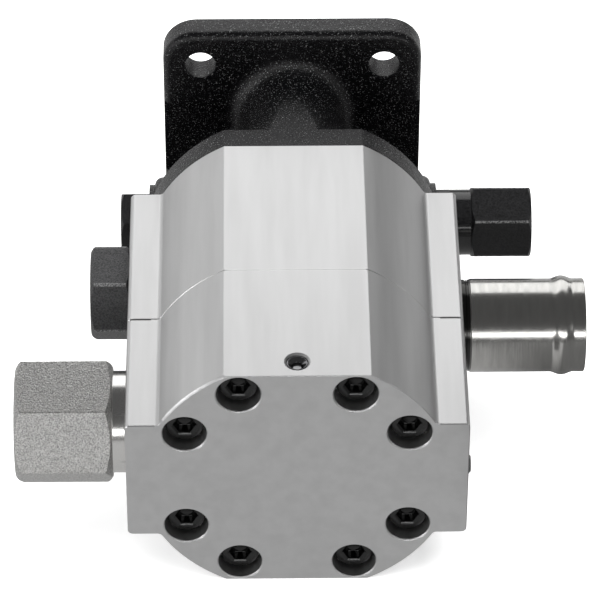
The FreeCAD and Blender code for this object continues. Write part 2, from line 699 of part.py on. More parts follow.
def counterbore_rim(edge):
    """The round edge of a head recess in the rear face."""
    box = edge.BoundBox
    if abs(box.YMin + size("rear_face")) > 1e-3 or box.YLength > 1e-3:
        return False
    return abs(box.XLength - 2 * size("counterbore_radius")) < 1e-2


def drill_galleries(body):
    """Crossed drillings behind the chambers that drain the bearings, with their plug seats."""
    top = "-body_drop + body_half_height"
    station = "-rear_face + gallery_depth"
    down = new_sketch(body, "top_gallery", "XY_Plane", ("0", station, top))
    draw_circle(down, "0", "0", "gallery_radius")
    extrude(body, down, "body_half_height + pitch_radius + 1.5 * gallery_radius", cut=True)
    seat = new_sketch(body, "top_plug_seat", "XY_Plane", ("0", station, top))
    draw_circle(seat, "0", "0", "gallery_plug_radius + thread_gap")
    extrude(body, seat, "gallery_plug_length + gallery_plug_sink", cut=True)
    side = (station, "-body_drop")
    drilled(body, "side_gallery", "X", side, "0", "ear_half_width", "gallery_radius")
    drilled(body, "side_plug_seat", "X", side,
            "ear_half_width - gallery_plug_length + gallery_plug_proud", "ear_half_width",
            "gallery_plug_radius + thread_gap")
    for word, centre in (("drive", SHAFT), ("driven", DRIVEN)):
        drilled(body, f"{word}_drain", "Y", centre, station, "-chamber_end + 1", "drain_radius")
    rims = edge_names(body.Tip.Shape, lambda edge: plug_rim(edge))
    dress(body, "Chamfer", "top_plug_edge", rims, "gallery_chamfer")


def plug_rim(edge):
    """The round edge of the top plug's hole in the flat."""
    box = edge.BoundBox
    top = size("body_half_height - body_drop")
    wide = 2 * size("gallery_plug_radius + thread_gap")
    return abs(box.ZMin - top) < 1e-3 and box.ZLength < 1e-3 and abs(box.XLength - wide) < 1e-2


def make_front_cover():
    body = new_body("front_cover")
    half = "flange_width / 2"
    square = new_sketch(body, "flange_square", "XZ_Plane")
    draw_outline(square, [(half, f"-{half}"), (half, half), (f"-{half}", half), (f"-{half}", f"-{half}")])
    flange = extrude(body, square, "flange_thickness")
    reach = size(half)
    corners = edge_names(flange.Shape, lambda edge: flange_corner(edge, reach))
    dress(body, "Fillet", "flange_corners", corners, "flange_corner_radius")
    rims = outer_edges(body.Tip.Shape, size("flange_thickness"))
    dress(body, "Fillet", "flange_edge", rims, "flange_edge_radius")
    band = new_sketch(body, "flange_band", "XZ_Plane", ("0", "0", "flange_thickness"))
    draw_outline(band, [(half, "-flange_band_half_height"), (half, "flange_band_half_height"),
                        (f"-{half}", "flange_band_half_height"), (f"-{half}", "-flange_band_half_height")])
    extrude(body, band, "flange_band_depth", cut=True)
    grow_neck(body)
    plate = new_sketch(body, "cover_plate_outline", "XZ_Plane", ("0", "0", "plate_front"))
    points, arcs = profile_points(False)
    draw_outline(plate, points, arcs)
    extrude(body, plate, "cover_plate")
    slope = "unloader_collar_radius - unloader_boss_radius"
    shoulder = "unloader_boss_end - unloader_collar_round"
    rim = "unloader_collar_radius - unloader_collar_round"
    right = [
        ("unloader_collar_start", "unloader_boss_radius"),
        (f"unloader_collar_start + {slope}", "unloader_collar_radius"),
        (shoulder, "unloader_collar_radius"),
        ("unloader_boss_end", rim),
        ("unloader_boss_end", "unloader_face_radius"),
        ("unloader_face_end", "unloader_face_radius"),
        ("unloader_face_end", "0"),
    ]
    left = [(f"-({station})", radius) for station, radius in reversed(right)]
    turned(body, "unloader_boss", "X", UNLOADER, left + right,
           arcs={3: ("unloader_collar_round", -1), 9: ("unloader_collar_round", -1)})
    pilot = [
        ("-1", "0"),
        ("-1", "pilot_radius"),
        ("pilot_height - pilot_chamfer", "pilot_radius"),
        ("pilot_height", "pilot_radius - pilot_chamfer"),
        ("pilot_height", "0"),
    ]
    turned(body, "pilot", "Y", SHAFT, pilot)
    bore_cover(body)
    return body


def grow_neck(body):
    """The oval neck: two turned ends above and below the shaft and straight sides between."""
    wide = "neck_radius + neck_flare"
    profile = [
        ("-plate_front - 1", wide),
        ("-plate_front", wide),
        ("-neck_flare_start", "neck_radius"),
        ("-flange_thickness - neck_fillet", "neck_radius"),
        ("-flange_thickness", "neck_radius + neck_fillet"),
        ("-flange_thickness / 2", "neck_radius + neck_fillet"),
    ]
    half = [("-plate_front - 1", "0")] + profile + [("-flange_thickness / 2", "0")]
    for word, rise in (("upper", "neck_rise"), ("lower", "-neck_rise")):
        turned(body, f"{word}_neck", "Y", ("0", rise), half, arcs={4: ("neck_fillet", -1)})
    sides = new_sketch(body, "neck_sides", "XY_Plane", ("0", "0", "-neck_rise"))
    right = [(radius, station) for station, radius in profile]
    left = [(f"-({radius})", station) for station, radius in reversed(profile)]
    draw_outline(sides, right + left, arcs={3: ("neck_fillet", -1), 7: ("neck_fillet", -1)})
    extrude(body, sides, "2 * neck_rise")
    top = new_sketch(body, "neck_top", "XY_Plane", ("0", "0", "body_half_height - body_drop"))
    start = "-flange_thickness - neck_fillet"
    draw_outline(top, [(wide, "-plate_front - 1"), (wide, start),
                       (f"-({wide})", start), (f"-({wide})", "-plate_front - 1")])
    extrude(body, top, "neck_radius", cut=True, back=True)


def flange_corner(edge, reach):
    box = edge.BoundBox
    return box.YLength > 1 and abs(abs(box.XMin) - reach) < 1e-3 and abs(abs(box.ZMin) - reach) < 1e-3 \
        and box.XLength < 1e-3 and box.ZLength < 1e-3


def bore_cover(body):
    """Shaft line, seal pocket, valve bore and the bolt and screw holes in the casting."""
    inner = "pilot_height - seal_pocket"
    groove = "pilot_height - ring_depth"
    shaft_line = [
        ("pilot_height", "0"),
        ("pilot_height", "seal_radius"),
        (groove, "seal_radius"),
        (groove, "seal_radius + ring_depth"),
        (f"{groove} - ring_thickness", "seal_radius + ring_depth"),
        (f"{groove} - ring_thickness", "seal_radius"),
        (inner, "seal_radius"),
        (inner, "shaft_bore"),
        ("-cover_seam", "shaft_bore"),
        ("-cover_seam", "0"),
    ]
    turned(body, "shaft_line", "Y", SHAFT, shaft_line, cut=True)
    right_thread = "unloader_face_end - unloader_cap_thread_length"
    left_thread = "unloader_plug_length - unloader_face_end"
    valve_line = [
        ("-unloader_face_end", "0"),
        ("-unloader_face_end", "unloader_plug_radius + thread_gap"),
        (left_thread, "unloader_plug_radius + thread_gap"),
        (left_thread, "unloader_bore_radius"),
        (right_thread, "unloader_bore_radius"),
        (right_thread, "unloader_cap_thread_radius + thread_gap"),
        ("unloader_face_end", "unloader_cap_thread_radius + thread_gap"),
        ("unloader_face_end", "0"),
    ]
    turned(body, "valve_line", "X", UNLOADER, valve_line, cut=True)
    bolts = new_sketch(body, "flange_holes", "XZ_Plane")
    for across in ("", "-"):
        for up in ("", "-"):
            draw_circle(bolts, f"{across}bolt_spacing / 2", f"{up}bolt_spacing / 2", "bolt_hole_radius")
    extrude(body, bolts, "flange_thickness", cut=True, back=True)
    screw_holes(body, "cover_threads", "cover_seam - screw_bite", "screw_bite",
                "screw_radius + thread_gap")
    dowel_holes(body, "cover_dowels", "cover_seam - dowel_length / 2", "dowel_length / 2")


def make_screws():
    """Eight socket-head screws, head behind the rear face and thread in the cover."""
    body = new_body("housing_screw")
    head = "-rear_face + screw_sink"
    under = f"{head} + screw_head_height"
    tip = "-cover_seam + screw_bite"
    across, up = SCREW_PLACES[0]
    points = [
        (head, "0"),
        (head, "screw_head_radius - 0.5"),
        (f"{head} + 0.5", "screw_head_radius"),
        (under, "screw_head_radius"),
        (under, "screw_radius"),
        (f"{tip} - 1", "screw_radius"),
        (tip, "screw_radius - 0.8"),
        (tip, "0"),
    ]
    turned(body, "screw_profile", "Y", (across, up), points)
    socket = new_sketch(body, "screw_socket", "XZ_Plane", (across, up, "rear_face - screw_sink"))
    corner = "screw_socket_width / sqrt(3)"
    draw_outline(socket, [(f"{corner} * cos({60 * step})", f"{corner} * sin({60 * step})")
                          for step in range(6)])
    screw = extrude(body, socket, "screw_socket_depth", cut=True)
    origin = Vector(size(across), 0, size(up))
    copies = []
    for across, up in SCREW_PLACES:
        copy = screw.Shape.copy()
        copy.translate(Vector(size(across), 0, size(up)) - origin)
        copies.append(copy)
    return solid_feature("housing_screws", Part.makeCompound(copies))


def cylinder_part(name, start, length, radius, across="0", up="0"):
    """A round bar along Y, from a depth backwards."""
    bar = doc.addObject("Part::Cylinder", name)
    bar.setExpression("Radius", bound(radius))
    bar.setExpression("Height", bound(length))
    bar.Placement = Placement(Vector(0, 0, 0), Rotation(Vector(1, 0, 0), 90))
    bar.setExpression("Placement.Base.x", bound(across))
    bar.setExpression("Placement.Base.y", bound(f"-({start})"))
    bar.setExpression("Placement.Base.z", bound(up))
    return bar


def boolean(kind, name, base, tool):
    feature = doc.addObject(f"Part::{kind}", name)
    feature.Base = base
    feature.Tool = tool
    return feature


def make_dowels():
    pins = []
    for seam in ("cover_seam", "middle_seam"):
        for word, side in (("right", ""), ("left", "-")):
            pins.append(cylinder_part(f"dowel_{seam}_{word}", f"{seam} - dowel_length / 2 + 0.1",
                                      "dowel_length - 0.2", "dowel_radius",
                                      f"{side}dowel_offset", "-body_drop"))
    group = doc.addObject("Part::Compound", "dowel_pins")
    group.Label = "dowel_pins"
    group.Links = pins
    return group


BLOCKS = {
    "large_front_bearing_block": ("cover_seam", "large_front_block"),
    "large_rear_bearing_block": ("large_gear_end + side_gap", "middle_seam - large_gear_end - side_gap"),
    "small_front_bearing_block": ("middle_seam", "small_front_block"),
    "small_rear_bearing_block": ("small_gear_end + side_gap", "chamber_end - small_gear_end - side_gap"),
}


def make_block(name, start, length):
    """A bearing block shaped like the chambers, with a bore for each shaft's bush."""
    rounds = []
    bores = []
    for word, up in (("drive", "0"), ("driven", "-driven_drop")):
        rounds.append(cylinder_part(f"{name}_{word}", start, length, "chamber_radius - block_gap", up=up))
        bores.append(cylinder_part(f"{name}_{word}_bore", start, length, "bush_outer", up=up))
    outside = boolean("Fuse", f"{name}_outside", rounds[0], rounds[1])
    first = boolean("Cut", f"{name}_first_bore", outside, bores[0])
    block = boolean("Cut", name, first, bores[1])
    block.Label = name
    return block


def make_bushes():
    """Eight plain bearing bushes, two in each block."""
    bushes = []
    for name, (start, length) in BLOCKS.items():
        for word, up in (("drive", "0"), ("driven", "-driven_drop")):
            place = f"{start} + bush_recess"
            span = f"{length} - 2 * bush_recess"
            outer = cylinder_part(f"{name}_{word}_bush_outer", place, span, "bush_outer", up=up)
            inner = cylinder_part(f"{name}_{word}_bush_inner", place, span, "bush_inner", up=up)
            bushes.append(boolean("Cut", f"{name}_{word}_bush", outer, inner))
    group = doc.addObject("Part::Compound", "bearing_bushes")
    group.Label = "bearing_bushes"
    group.Links = bushes
    return group


def involute_point(base, radius, turn):
    """The point of an involute at a radius; turn is 1 or -1 for its hand."""
    roll = math.sqrt((radius / base) ** 2 - 1)
    angle = turn * (roll - math.atan(roll))
    return Vector(radius * math.cos(angle), 0, radius * math.sin(angle))


def gear_outline():
    """A closed wire of the gear in the XZ plane, with a tooth centred on +Z.

    Each flank is an involute of the base circle, radial below it, and the tip and the root
    between two teeth are arcs about the axis.
    """
    teeth = int(size("tooth_count"))
    pitch = size("pitch_radius")
    tip = size("tip_radius")
    root = pitch - size("dedendum")
    angle = math.radians(size("pressure_angle"))
    base = pitch * math.cos(angle)
    spread = math.tan(angle) - angle
    half = math.pi / (2 * teeth) + spread - size("flank_relief") / pitch
    stations = [base + (tip - base) * step / 4 for step in range(5)]
    edges = []
    for tooth in range(teeth):
        middle = math.pi / 2 - 2 * math.pi * tooth / teeth
        rising = turned_points(base, stations, 1, middle - half)
        falling = turned_points(base, stations, -1, middle + half)
        foot = Vector(root * math.cos(middle - half), 0, root * math.sin(middle - half))
        heel = Vector(root * math.cos(middle + half), 0, root * math.sin(middle + half))
        crown = Vector(tip * math.cos(middle), 0, tip * math.sin(middle))
        gap = middle - math.pi / teeth
        floor = Vector(root * math.cos(gap), 0, root * math.sin(gap))
        beyond = middle - 2 * math.pi / teeth + half
        landing = Vector(root * math.cos(beyond), 0, root * math.sin(beyond))
        edges.append(Part.makeLine(heel, falling[0]))
        edges.append(flank_edge(falling))
        edges.append(Part.Arc(falling[-1], crown, rising[-1]).toShape())
        edges.append(flank_edge(rising[::-1]))
        edges.append(Part.makeLine(rising[0], foot))
        edges.append(Part.Arc(foot, floor, landing).toShape())
    return Part.Wire(edges)


def turned_points(base, stations, hand, start):
    """Involute points from the base circle out, the involute starting at an angle."""
    points = []
    for radius in stations:
        point = involute_point(base, radius, hand)
        cosine, sine = math.cos(start), math.sin(start)
        points.append(Vector(point.x * cosine - point.z * sine, 0, point.x * sine + point.z * cosine))
    return points


def flank_edge(points):
    curve = Part.BSplineCurve()
    curve.interpolate(points)
    return curve.toShape()


def gear_solid(start, width):
    """The toothed disc behind a depth, its axis on Y through the origin."""
    face = Part.Face(gear_outline())
    disc = face.extrude(Vector(0, -width, 0))
    disc.translate(Vector(0, -start, 0))
    return disc


def bar(start, length, radius):
    return Part.makeCylinder(radius, length, Vector(0, -start, 0), Vector(0, -1, 0))


def make_drive_gear(name, start, width):
    """A gear bored for the drive shaft, with a keyway at the top."""
    disc = gear_solid(size(start), size(width))
    disc = disc.cut(bar(size(start), size(width), size("journal_radius + 0.01")))
    wide = size("gear_key_width + 2 * key_gap")
    high = size("journal_radius + gear_key_height + key_gap")
    slot = Part.makeBox(wide, size(width), high, Vector(-wide / 2, -size(start) - size(width), 0))
    return solid_feature(name, disc.cut(slot))


def make_driven_gear(name, start, width, first, last):
    """A gear in one piece with its two journals; a space faces the drive gear's tooth."""
    disc = gear_solid(size(start), size(width))
    disc.rotate(Vector(0, 0, 0), Vector(0, 1, 0), 180 + 180 / size("tooth_count"))
    journal = bar(size(first), size(last) - size(first), size("journal_radius"))
    return solid_feature(name, disc.fuse(journal), Vector(0, 0, -size("driven_drop")))


def make_drive_shaft():
    """The keyed shaft, with a slot for each gear's key."""
    body = new_body("drive_shaft")
    rear = "-chamber_end + driven_end_gap"
    points = [
        (rear, "0"),
        (rear, "journal_radius - shaft_chamfer"),
        (f"{rear} + shaft_chamfer", "journal_radius"),
        ("shaft_shoulder", "journal_radius"),
        ("shaft_shoulder", "shaft_radius"),
        ("shaft_reach - shaft_chamfer", "shaft_radius"),
        ("shaft_reach", "shaft_radius - shaft_chamfer"),
        ("shaft_reach", "0"),
    ]
    turned(body, "shaft_profile", "Y", SHAFT, points)
    key = new_sketch(body, "shaft_keyway", "XY_Plane", ("0", "0", "shaft_radius"))
    half = "keyway_width / 2"
    draw_outline(key, [(f"-{half}", "shaft_reach - keyway_length"), (half, "shaft_reach - keyway_length"),
                       (half, "shaft_reach + 1"), (f"-{half}", "shaft_reach + 1")])
    extrude(body, key, "keyway_depth", cut=True)
    for word in ("large", "small"):
        slot = new_sketch(body, f"{word}_key_seat", "XY_Plane", ("0", "0", "journal_radius"))
        half = "gear_key_width / 2"
        front = f"-{word}_gear_start - 1"
        back = f"-{word}_gear_end + 1"
        draw_outline(slot, [(f"-{half}", back), (half, back), (half, front), (f"-{half}", front)])
        extrude(body, slot, "gear_key_height", cut=True)
    return body


def make_gear_keys():
    keys = []
    for word in ("large", "small"):
        key = doc.addObject("Part::Box", f"{word}_gear_key")
        key.setExpression("Length", bound("gear_key_width - 2 * key_gap"))
        key.setExpression("Width", bound(f"{word}_gear_width - 2 - 2 * key_gap"))
        key.setExpression("Height", bound("2 * gear_key_height"))
        key.setExpression("Placement.Base.x", bound("-gear_key_width / 2 + key_gap"))
        key.setExpression("Placement.Base.y", bound(f"-{word}_gear_end + 1 + key_gap"))
        key.setExpression("Placement.Base.z", bound("journal_radius - gear_key_height"))
        keys.append(key)
    group = doc.addObject("Part::Compound", "drive_gear_keys")
    group.Label = "drive_gear_keys"
    group.Links = keys
    return group


def make_shaft_seal():
    body = new_body("shaft_seal")
    front = "pilot_height - ring_depth - ring_thickness"
    back = f"{front} - seal_width"
    lip = "journal_radius + seal_gap"
    points = [
        (front, "seal_radius - seal_wall"),
        (front, "seal_radius"),
        (back, "seal_radius"),
        (back, lip),
        (f"{back} + 1.5", lip),
        (f"{back} + 2.5", "seal_radius - seal_wall"),
    ]
    turned(body, "seal_profile", "Y", SHAFT, points)
    return body


def make_seal_ring():
    """The open ring that holds the shaft seal in its pocket, with two eyes for pliers."""
    outer = size("seal_radius + ring_depth")
    inner = size("seal_radius - 1.4")
    thick = size("ring_thickness")
    front = size("pilot_height - ring_depth")
    ring = Part.makeCylinder(outer, thick, Vector(0, front, 0), Vector(0, -1, 0))
    ring = ring.cut(Part.makeCylinder(inner, thick, Vector(0, front, 0), Vector(0, -1, 0)))
    gap = Part.makeBox(5.0, thick, outer, Vector(-2.5, front - thick, -outer - 0.1))
    ring = ring.cut(gap)
    for side in (-1, 1):
        place = Vector(side * 4.0, front, -inner + 0.8)
        eye = Part.makeCylinder(1.6, thick, place, Vector(0, -1, 0))
        ring = ring.fuse(eye).cut(Part.makeCylinder(0.8, thick, place, Vector(0, -1, 0)))
    return solid_feature("seal_retaining_ring", ring.removeSplitter())


def make_inlet_tube():
    """The beaded hose tube."""
    body = new_body("inlet_tube")
    inner = "inlet_tube_radius - inlet_tube_wall"
    start = "ear_half_width - inlet_socket_depth"
    bead_start = "inlet_bead_centre - inlet_bead_width / 2"
    bead_end = "inlet_bead_centre + inlet_bead_width / 2"
    crest = "inlet_tube_radius + inlet_bead_height"
    shoulder = "inlet_tube_radius + 0.6 * inlet_bead_height"
    full = "ear_half_width + inlet_ring_width"
    points = [
        (start, inner),
        (start, "inlet_tail_radius"),
        (full, "inlet_tail_radius"),
        (full, "inlet_tube_radius - inlet_ring_drop"),
        (f"{full} + inlet_ring_drop", "inlet_tube_radius"),
        (bead_start, "inlet_tube_radius"),
        ("inlet_bead_centre - inlet_bead_width / 3", shoulder),
        ("inlet_bead_centre - inlet_bead_width / 9", crest),
        ("inlet_bead_centre + inlet_bead_width / 9", crest),
        ("inlet_bead_centre + inlet_bead_width / 3", shoulder),
        (bead_end, "inlet_tube_radius"),
        ("inlet_tube_end - tube_chamfer", "inlet_tube_radius"),
        ("inlet_tube_end", "inlet_tube_radius - tube_chamfer"),
        ("inlet_tube_end", inner),
    ]
    turned(body, "tube_profile", "X", INLET, points)
    ring = new_body("inlet_tube_ring")
    face = "ear_half_width"
    hold = "inlet_tail_radius + thread_gap"
    outer = "inlet_tube_radius - inlet_ring_drop"
    floor = f"{outer} - inlet_ring_groove"
    points = [(face, hold), (face, outer)]
    for place in ("inlet_ring_width / 2", "inlet_ring_width - 2 * inlet_ring_groove"):
        points += [(f"{face} + {place}", outer), (f"{face} + {place}", floor),
                   (f"{face} + {place} + inlet_ring_groove", floor),
                   (f"{face} + {place} + inlet_ring_groove", outer)]
    points += [(f"{face} + inlet_ring_width", outer), (f"{face} + inlet_ring_width", hold)]
    turned(ring, "ring_profile", "X", INLET, points)
    return [body, ring]


def make_outlet_adapter():
    body = new_body("outlet_adapter")
    hexagon(body, "outlet_hex", OUTLET, "-outlet_hex_outer", "outlet_hex_outer - outlet_hex_inner",
            "outlet_hex_width", "port_hex_tilt")
    break_corners(body, "outlet_outer_chamfer", OUTLET, "-outlet_hex_outer", "+", "outlet_hex_width", "0.96")
    break_corners(body, "outlet_inner_chamfer", OUTLET, "-outlet_hex_inner", "-", "outlet_hex_width", "0.96")
    thread = "-ear_half_width + outlet_thread_length"
    neck = [
        ("-outlet_hex_inner - 1", "0"),
        ("-outlet_hex_inner - 1", "outlet_neck_radius"),
        ("-ear_half_width", "outlet_neck_radius"),
        ("-ear_half_width", "outlet_thread_radius"),
        (thread, "outlet_thread_radius"),
        (thread, "0"),
    ]
    turned(body, "outlet_neck", "X", OUTLET, neck)
    mouth = "-outlet_hex_outer"
    shoulder = f"{mouth} + outlet_mouth_chamfer + outlet_mouth_length"
    bore = [
        (mouth, "0"),
        (mouth, "outlet_mouth_radius + outlet_mouth_chamfer"),
        (f"{mouth} + outlet_mouth_chamfer", "outlet_mouth_radius"),
        (shoulder, "outlet_mouth_radius"),
        (f"{shoulder} + 1.5", "outlet_bore_radius"),
        (thread, "outlet_bore_radius"),
        (thread, "0"),
    ]
    turned(body, "outlet_bore", "X", OUTLET, bore, cut=True)
    return body


def make_check_valve():
    cap = new_body("check_valve_cap")
    face = "-ear_half_width"
    end = "-ear_half_width - check_hex_length"
    hexagon(cap, "check_hex", CHECK, end, "check_hex_length", "check_hex_width", "port_hex_tilt")
    break_corners(cap, "check_outer_chamfer", CHECK, end, "+", "check_hex_width", "0.97")
    break_corners(cap, "check_inner_chamfer", CHECK, face, "-", "check_hex_width", "1.0")
    stem = [
        (f"{face} - 1", "0"),
        (f"{face} - 1", "check_thread_radius"),
        ("-check_thread_end", "check_thread_radius"),
        ("-check_thread_end", "0"),
    ]
    turned(cap, "check_stem", "X", CHECK, stem)
    drilled(cap, "check_cap_pocket", "X", CHECK, "-check_thread_end - check_cap_bore",
            "-check_thread_end", "check_pocket_radius")
    poppet = new_body("check_valve_poppet")
    seat = "check_seat_radius - poppet_gap"
    tip = f"-check_bore_end + ({seat} - poppet_tip_radius)"
    shoulder = f"-check_bore_end - (poppet_radius - ({seat}))"
    tail = f"{tip} - poppet_length"
    points = [
        (tip, "0"),
        (tip, "poppet_tip_radius"),
        (shoulder, "poppet_radius"),
        (tail, "poppet_radius"),
        (tail, "check_pocket_radius"),
        (f"{tail} + check_spring_seat", "check_pocket_radius"),
        (f"{tail} + check_spring_seat", "0"),
    ]
    turned(poppet, "poppet_profile", "X", CHECK, points)
    start = size(f"{tail} + check_spring_seat")
    floor = size("-check_thread_end - check_cap_bore")
    spring = coil("check_valve_spring", CHECK, floor, start, size("check_pocket_radius - coil_gap"),
                  int(size("check_spring_turns")))
    return [cap, poppet, spring]


def coil(name, centre, start, end, outer, turns):
    """A round-wire spring along X between two stations."""
    wire = size("wire_radius")
    seat = 0.05
    radius = outer - wire
    length = end - start - 2 * wire - 2 * seat
    helix = Part.makeHelix(length / turns, length, radius)
    section = Part.Wire(Part.makeCircle(wire, Vector(radius, 0, 0), Vector(0, 1, 0)))
    solid = Part.Wire(helix.Edges).makePipeShell([section], True, True)
    place = Vector(start + wire + seat, size(centre[0]), size(centre[1]))
    return solid_feature(name, solid, place, Rotation(Vector(0, 1, 0), 90))


def make_unloading_valve():
    cap = new_body("unloader_cap")
    face = "unloader_face_end"
    neck_end = "unloader_cap_neck_end"
    hexagon(cap, "unloader_hex", UNLOADER, neck_end, "unloader_cap_end - unloader_cap_neck_end",
            "unloader_cap_width", "unloader_hex_tilt")
    break_corners(cap, "unloader_outer_chamfer", UNLOADER, "unloader_cap_end", "-",
                  "unloader_cap_width", "0.97")
    break_corners(cap, "unloader_inner_chamfer", UNLOADER, neck_end, "+", "unloader_cap_width", "1.0")
    thread = "unloader_face_end - unloader_cap_thread_length"
    stem = [
        (thread, "0"),
        (thread, "unloader_cap_thread_radius"),
        (face, "unloader_cap_thread_radius"),
        (face, "unloader_cap_neck_radius"),
        (f"{neck_end} + 1", "unloader_cap_neck_radius"),
        (f"{neck_end} + 1", "0"),
    ]
    turned(cap, "unloader_stem", "X", UNLOADER, stem)
    drilled(cap, "unloader_pocket", "X", UNLOADER, thread, "unloader_cap_floor", "unloader_cap_bore")
    plug = new_body("unloader_plug")
    end = "-unloader_face_end - unloader_plug_head"
    hexagon(plug, "plug_hex", UNLOADER, end, "unloader_plug_head", "unloader_plug_width", "unloader_hex_tilt")
    break_corners(plug, "plug_chamfer", UNLOADER, end, "+", "unloader_plug_width", "0.97")
    stem = [
        ("-unloader_face_end - 1", "0"),
        ("-unloader_face_end - 1", "unloader_plug_radius"),
        ("-unloader_face_end + unloader_plug_length", "unloader_plug_radius"),
        ("-unloader_face_end + unloader_plug_length", "0"),
    ]
    turned(plug, "plug_stem", "X", UNLOADER, stem)
    spool = new_body("unloader_spool")
    points = [
        ("spool_start", "0"),
        ("spool_start", "spool_radius"),
        ("spool_start + spool_land", "spool_radius"),
        ("spool_start + spool_land", "spool_waist_radius"),
        ("spool_end - 2 * spool_land", "spool_waist_radius"),
        ("spool_end - 2 * spool_land", "spool_radius"),
        ("spool_end", "spool_radius"),
        ("spool_end", "spool_stem_radius"),
        ("spool_end + spool_stem_length", "spool_stem_radius"),
        ("spool_end + spool_stem_length", "0"),
    ]
    turned(spool, "spool_profile", "X", UNLOADER, points)
    spring = coil("unloader_spring", UNLOADER, size("spool_end"), size("unloader_cap_floor"),
                  size("unloader_cap_bore - coil_gap"), int(size("unloader_spring_turns")))
    return [cap, plug, spool, spring]


def make_gallery_plugs():
    """A screwed plug under the top flat and a pressed one in the right port face."""
    top = new_body("top_gallery_plug")
    high = "-body_drop + body_half_height - gallery_plug_sink"
    station = "-rear_face + gallery_depth"
    disc = new_sketch(top, "top_plug_disc", "XY_Plane", ("0", station, high))
    draw_circle(disc, "0", "0", "gallery_plug_radius")
    extrude(top, disc, "gallery_plug_length", back=True)
    socket = new_sketch(top, "top_plug_socket", "XY_Plane", ("0", station, high))
    corner = "gallery_socket_radius"
    draw_outline(socket, [(f"{corner} * cos({60 * step})", f"{corner} * sin({60 * step})")
                          for step in range(6)])
    extrude(top, socket, "gallery_socket_depth", cut=True)
    side = new_body("side_gallery_plug")
    inner = "ear_half_width - gallery_plug_length + gallery_plug_proud"
    outer = "ear_half_width + gallery_plug_proud"
    points = [
        (inner, "0"),
        (inner, "gallery_plug_radius"),
        ("ear_half_width", "gallery_plug_radius"),
        (outer, "gallery_plug_radius - gallery_plug_proud"),
        (outer, "0"),
    ]
    turned(side, "side_plug_profile", "X", (station, "-body_drop"), points)
    return [top, side]


parts = [make_front_cover(), make_front_housing(), make_rear_housing(), make_screws(), make_dowels()]
parts += [seal_ring("cover_seal", "cover_seam"), seal_ring("middle_seal", "middle_seam")]
parts += [make_block(name, start, length) for name, (start, length) in BLOCKS.items()]
parts += [make_bushes(), make_drive_shaft(), make_gear_keys()]
parts.append(make_drive_gear("large_drive_gear", "large_gear_start", "large_gear_width"))
parts.append(make_drive_gear("small_drive_gear", "small_gear_start", "small_gear_width"))
parts.append(make_driven_gear("large_driven_gear", "large_gear_start", "large_gear_width",
                              "cover_seam + driven_end_gap", "middle_seam - driven_end_gap"))
parts.append(make_driven_gear("small_driven_gear", "small_gear_start", "small_gear_width",
                              "middle_seam + driven_end_gap", "chamber_end - driven_end_gap"))
parts += [make_shaft_seal(), make_seal_ring()]
parts += make_inlet_tube()
parts.append(make_outlet_adapter())
parts.append(ring_seal("outlet_adapter_seal", OUTLET, "-ear_half_width + port_seal_wire",
                       "outlet_thread_radius + port_seal_wire"))
parts += make_check_valve()
parts.append(ring_seal("check_valve_seal", CHECK, "-ear_half_width + port_seal_wire",
                       "check_thread_radius + port_seal_wire"))
parts += make_unloading_valve()
parts += make_gallery_plugs()

doc.recompute()
for item in doc.Objects:
    if "Invalid" in item.State or "Error" in item.State:
        raise RuntimeError(f"{item.Name} did not build")
os.makedirs("parts", exist_ok=True)
for part in parts:
    if part.Shape.isNull() or not part.Shape.isValid():
        raise RuntimeError(f"{part.Label} has no valid shape")
    if not part.Shape.Solids:
        raise RuntimeError(f"{part.Label} holds no solid")
for part in parts:
    part.Shape.exportStep(f"parts/{part.Label}.step")
print(len(parts), "sub-parts written")
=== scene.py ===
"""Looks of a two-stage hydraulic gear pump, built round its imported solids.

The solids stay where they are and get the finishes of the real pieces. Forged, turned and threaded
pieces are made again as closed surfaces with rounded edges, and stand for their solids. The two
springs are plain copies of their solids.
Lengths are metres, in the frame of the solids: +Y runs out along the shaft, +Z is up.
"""

import json
import math

import bpy
import numpy as np
from bpy.props import FloatProperty, FloatVectorProperty, PointerProperty
from mathutils import Matrix, Vector


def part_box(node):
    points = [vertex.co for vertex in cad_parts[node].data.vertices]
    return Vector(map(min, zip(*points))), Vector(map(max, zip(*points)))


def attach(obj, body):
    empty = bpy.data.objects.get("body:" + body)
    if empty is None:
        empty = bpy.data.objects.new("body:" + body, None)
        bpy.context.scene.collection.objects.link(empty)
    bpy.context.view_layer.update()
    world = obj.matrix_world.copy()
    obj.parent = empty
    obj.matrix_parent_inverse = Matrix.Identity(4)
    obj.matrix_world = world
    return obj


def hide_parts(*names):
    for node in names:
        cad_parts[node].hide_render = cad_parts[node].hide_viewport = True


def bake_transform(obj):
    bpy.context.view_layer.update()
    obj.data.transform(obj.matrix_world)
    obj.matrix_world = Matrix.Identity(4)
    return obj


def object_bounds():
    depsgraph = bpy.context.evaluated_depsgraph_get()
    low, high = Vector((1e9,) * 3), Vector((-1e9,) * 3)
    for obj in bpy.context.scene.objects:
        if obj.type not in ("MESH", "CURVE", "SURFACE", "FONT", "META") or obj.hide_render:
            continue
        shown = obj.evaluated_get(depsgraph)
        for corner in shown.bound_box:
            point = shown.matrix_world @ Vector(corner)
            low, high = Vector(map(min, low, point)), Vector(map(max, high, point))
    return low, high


bl_info = {
    "name": "Two-stage gear pump",
    "version": (1, 0, 0),
    "blender": (4, 5, 0),
    "location": "View3D > Sidebar > Gear pump",
    "description": "Finishes and turned surfaces for a two-stage hydraulic gear pump",
    "category": "Object",
}

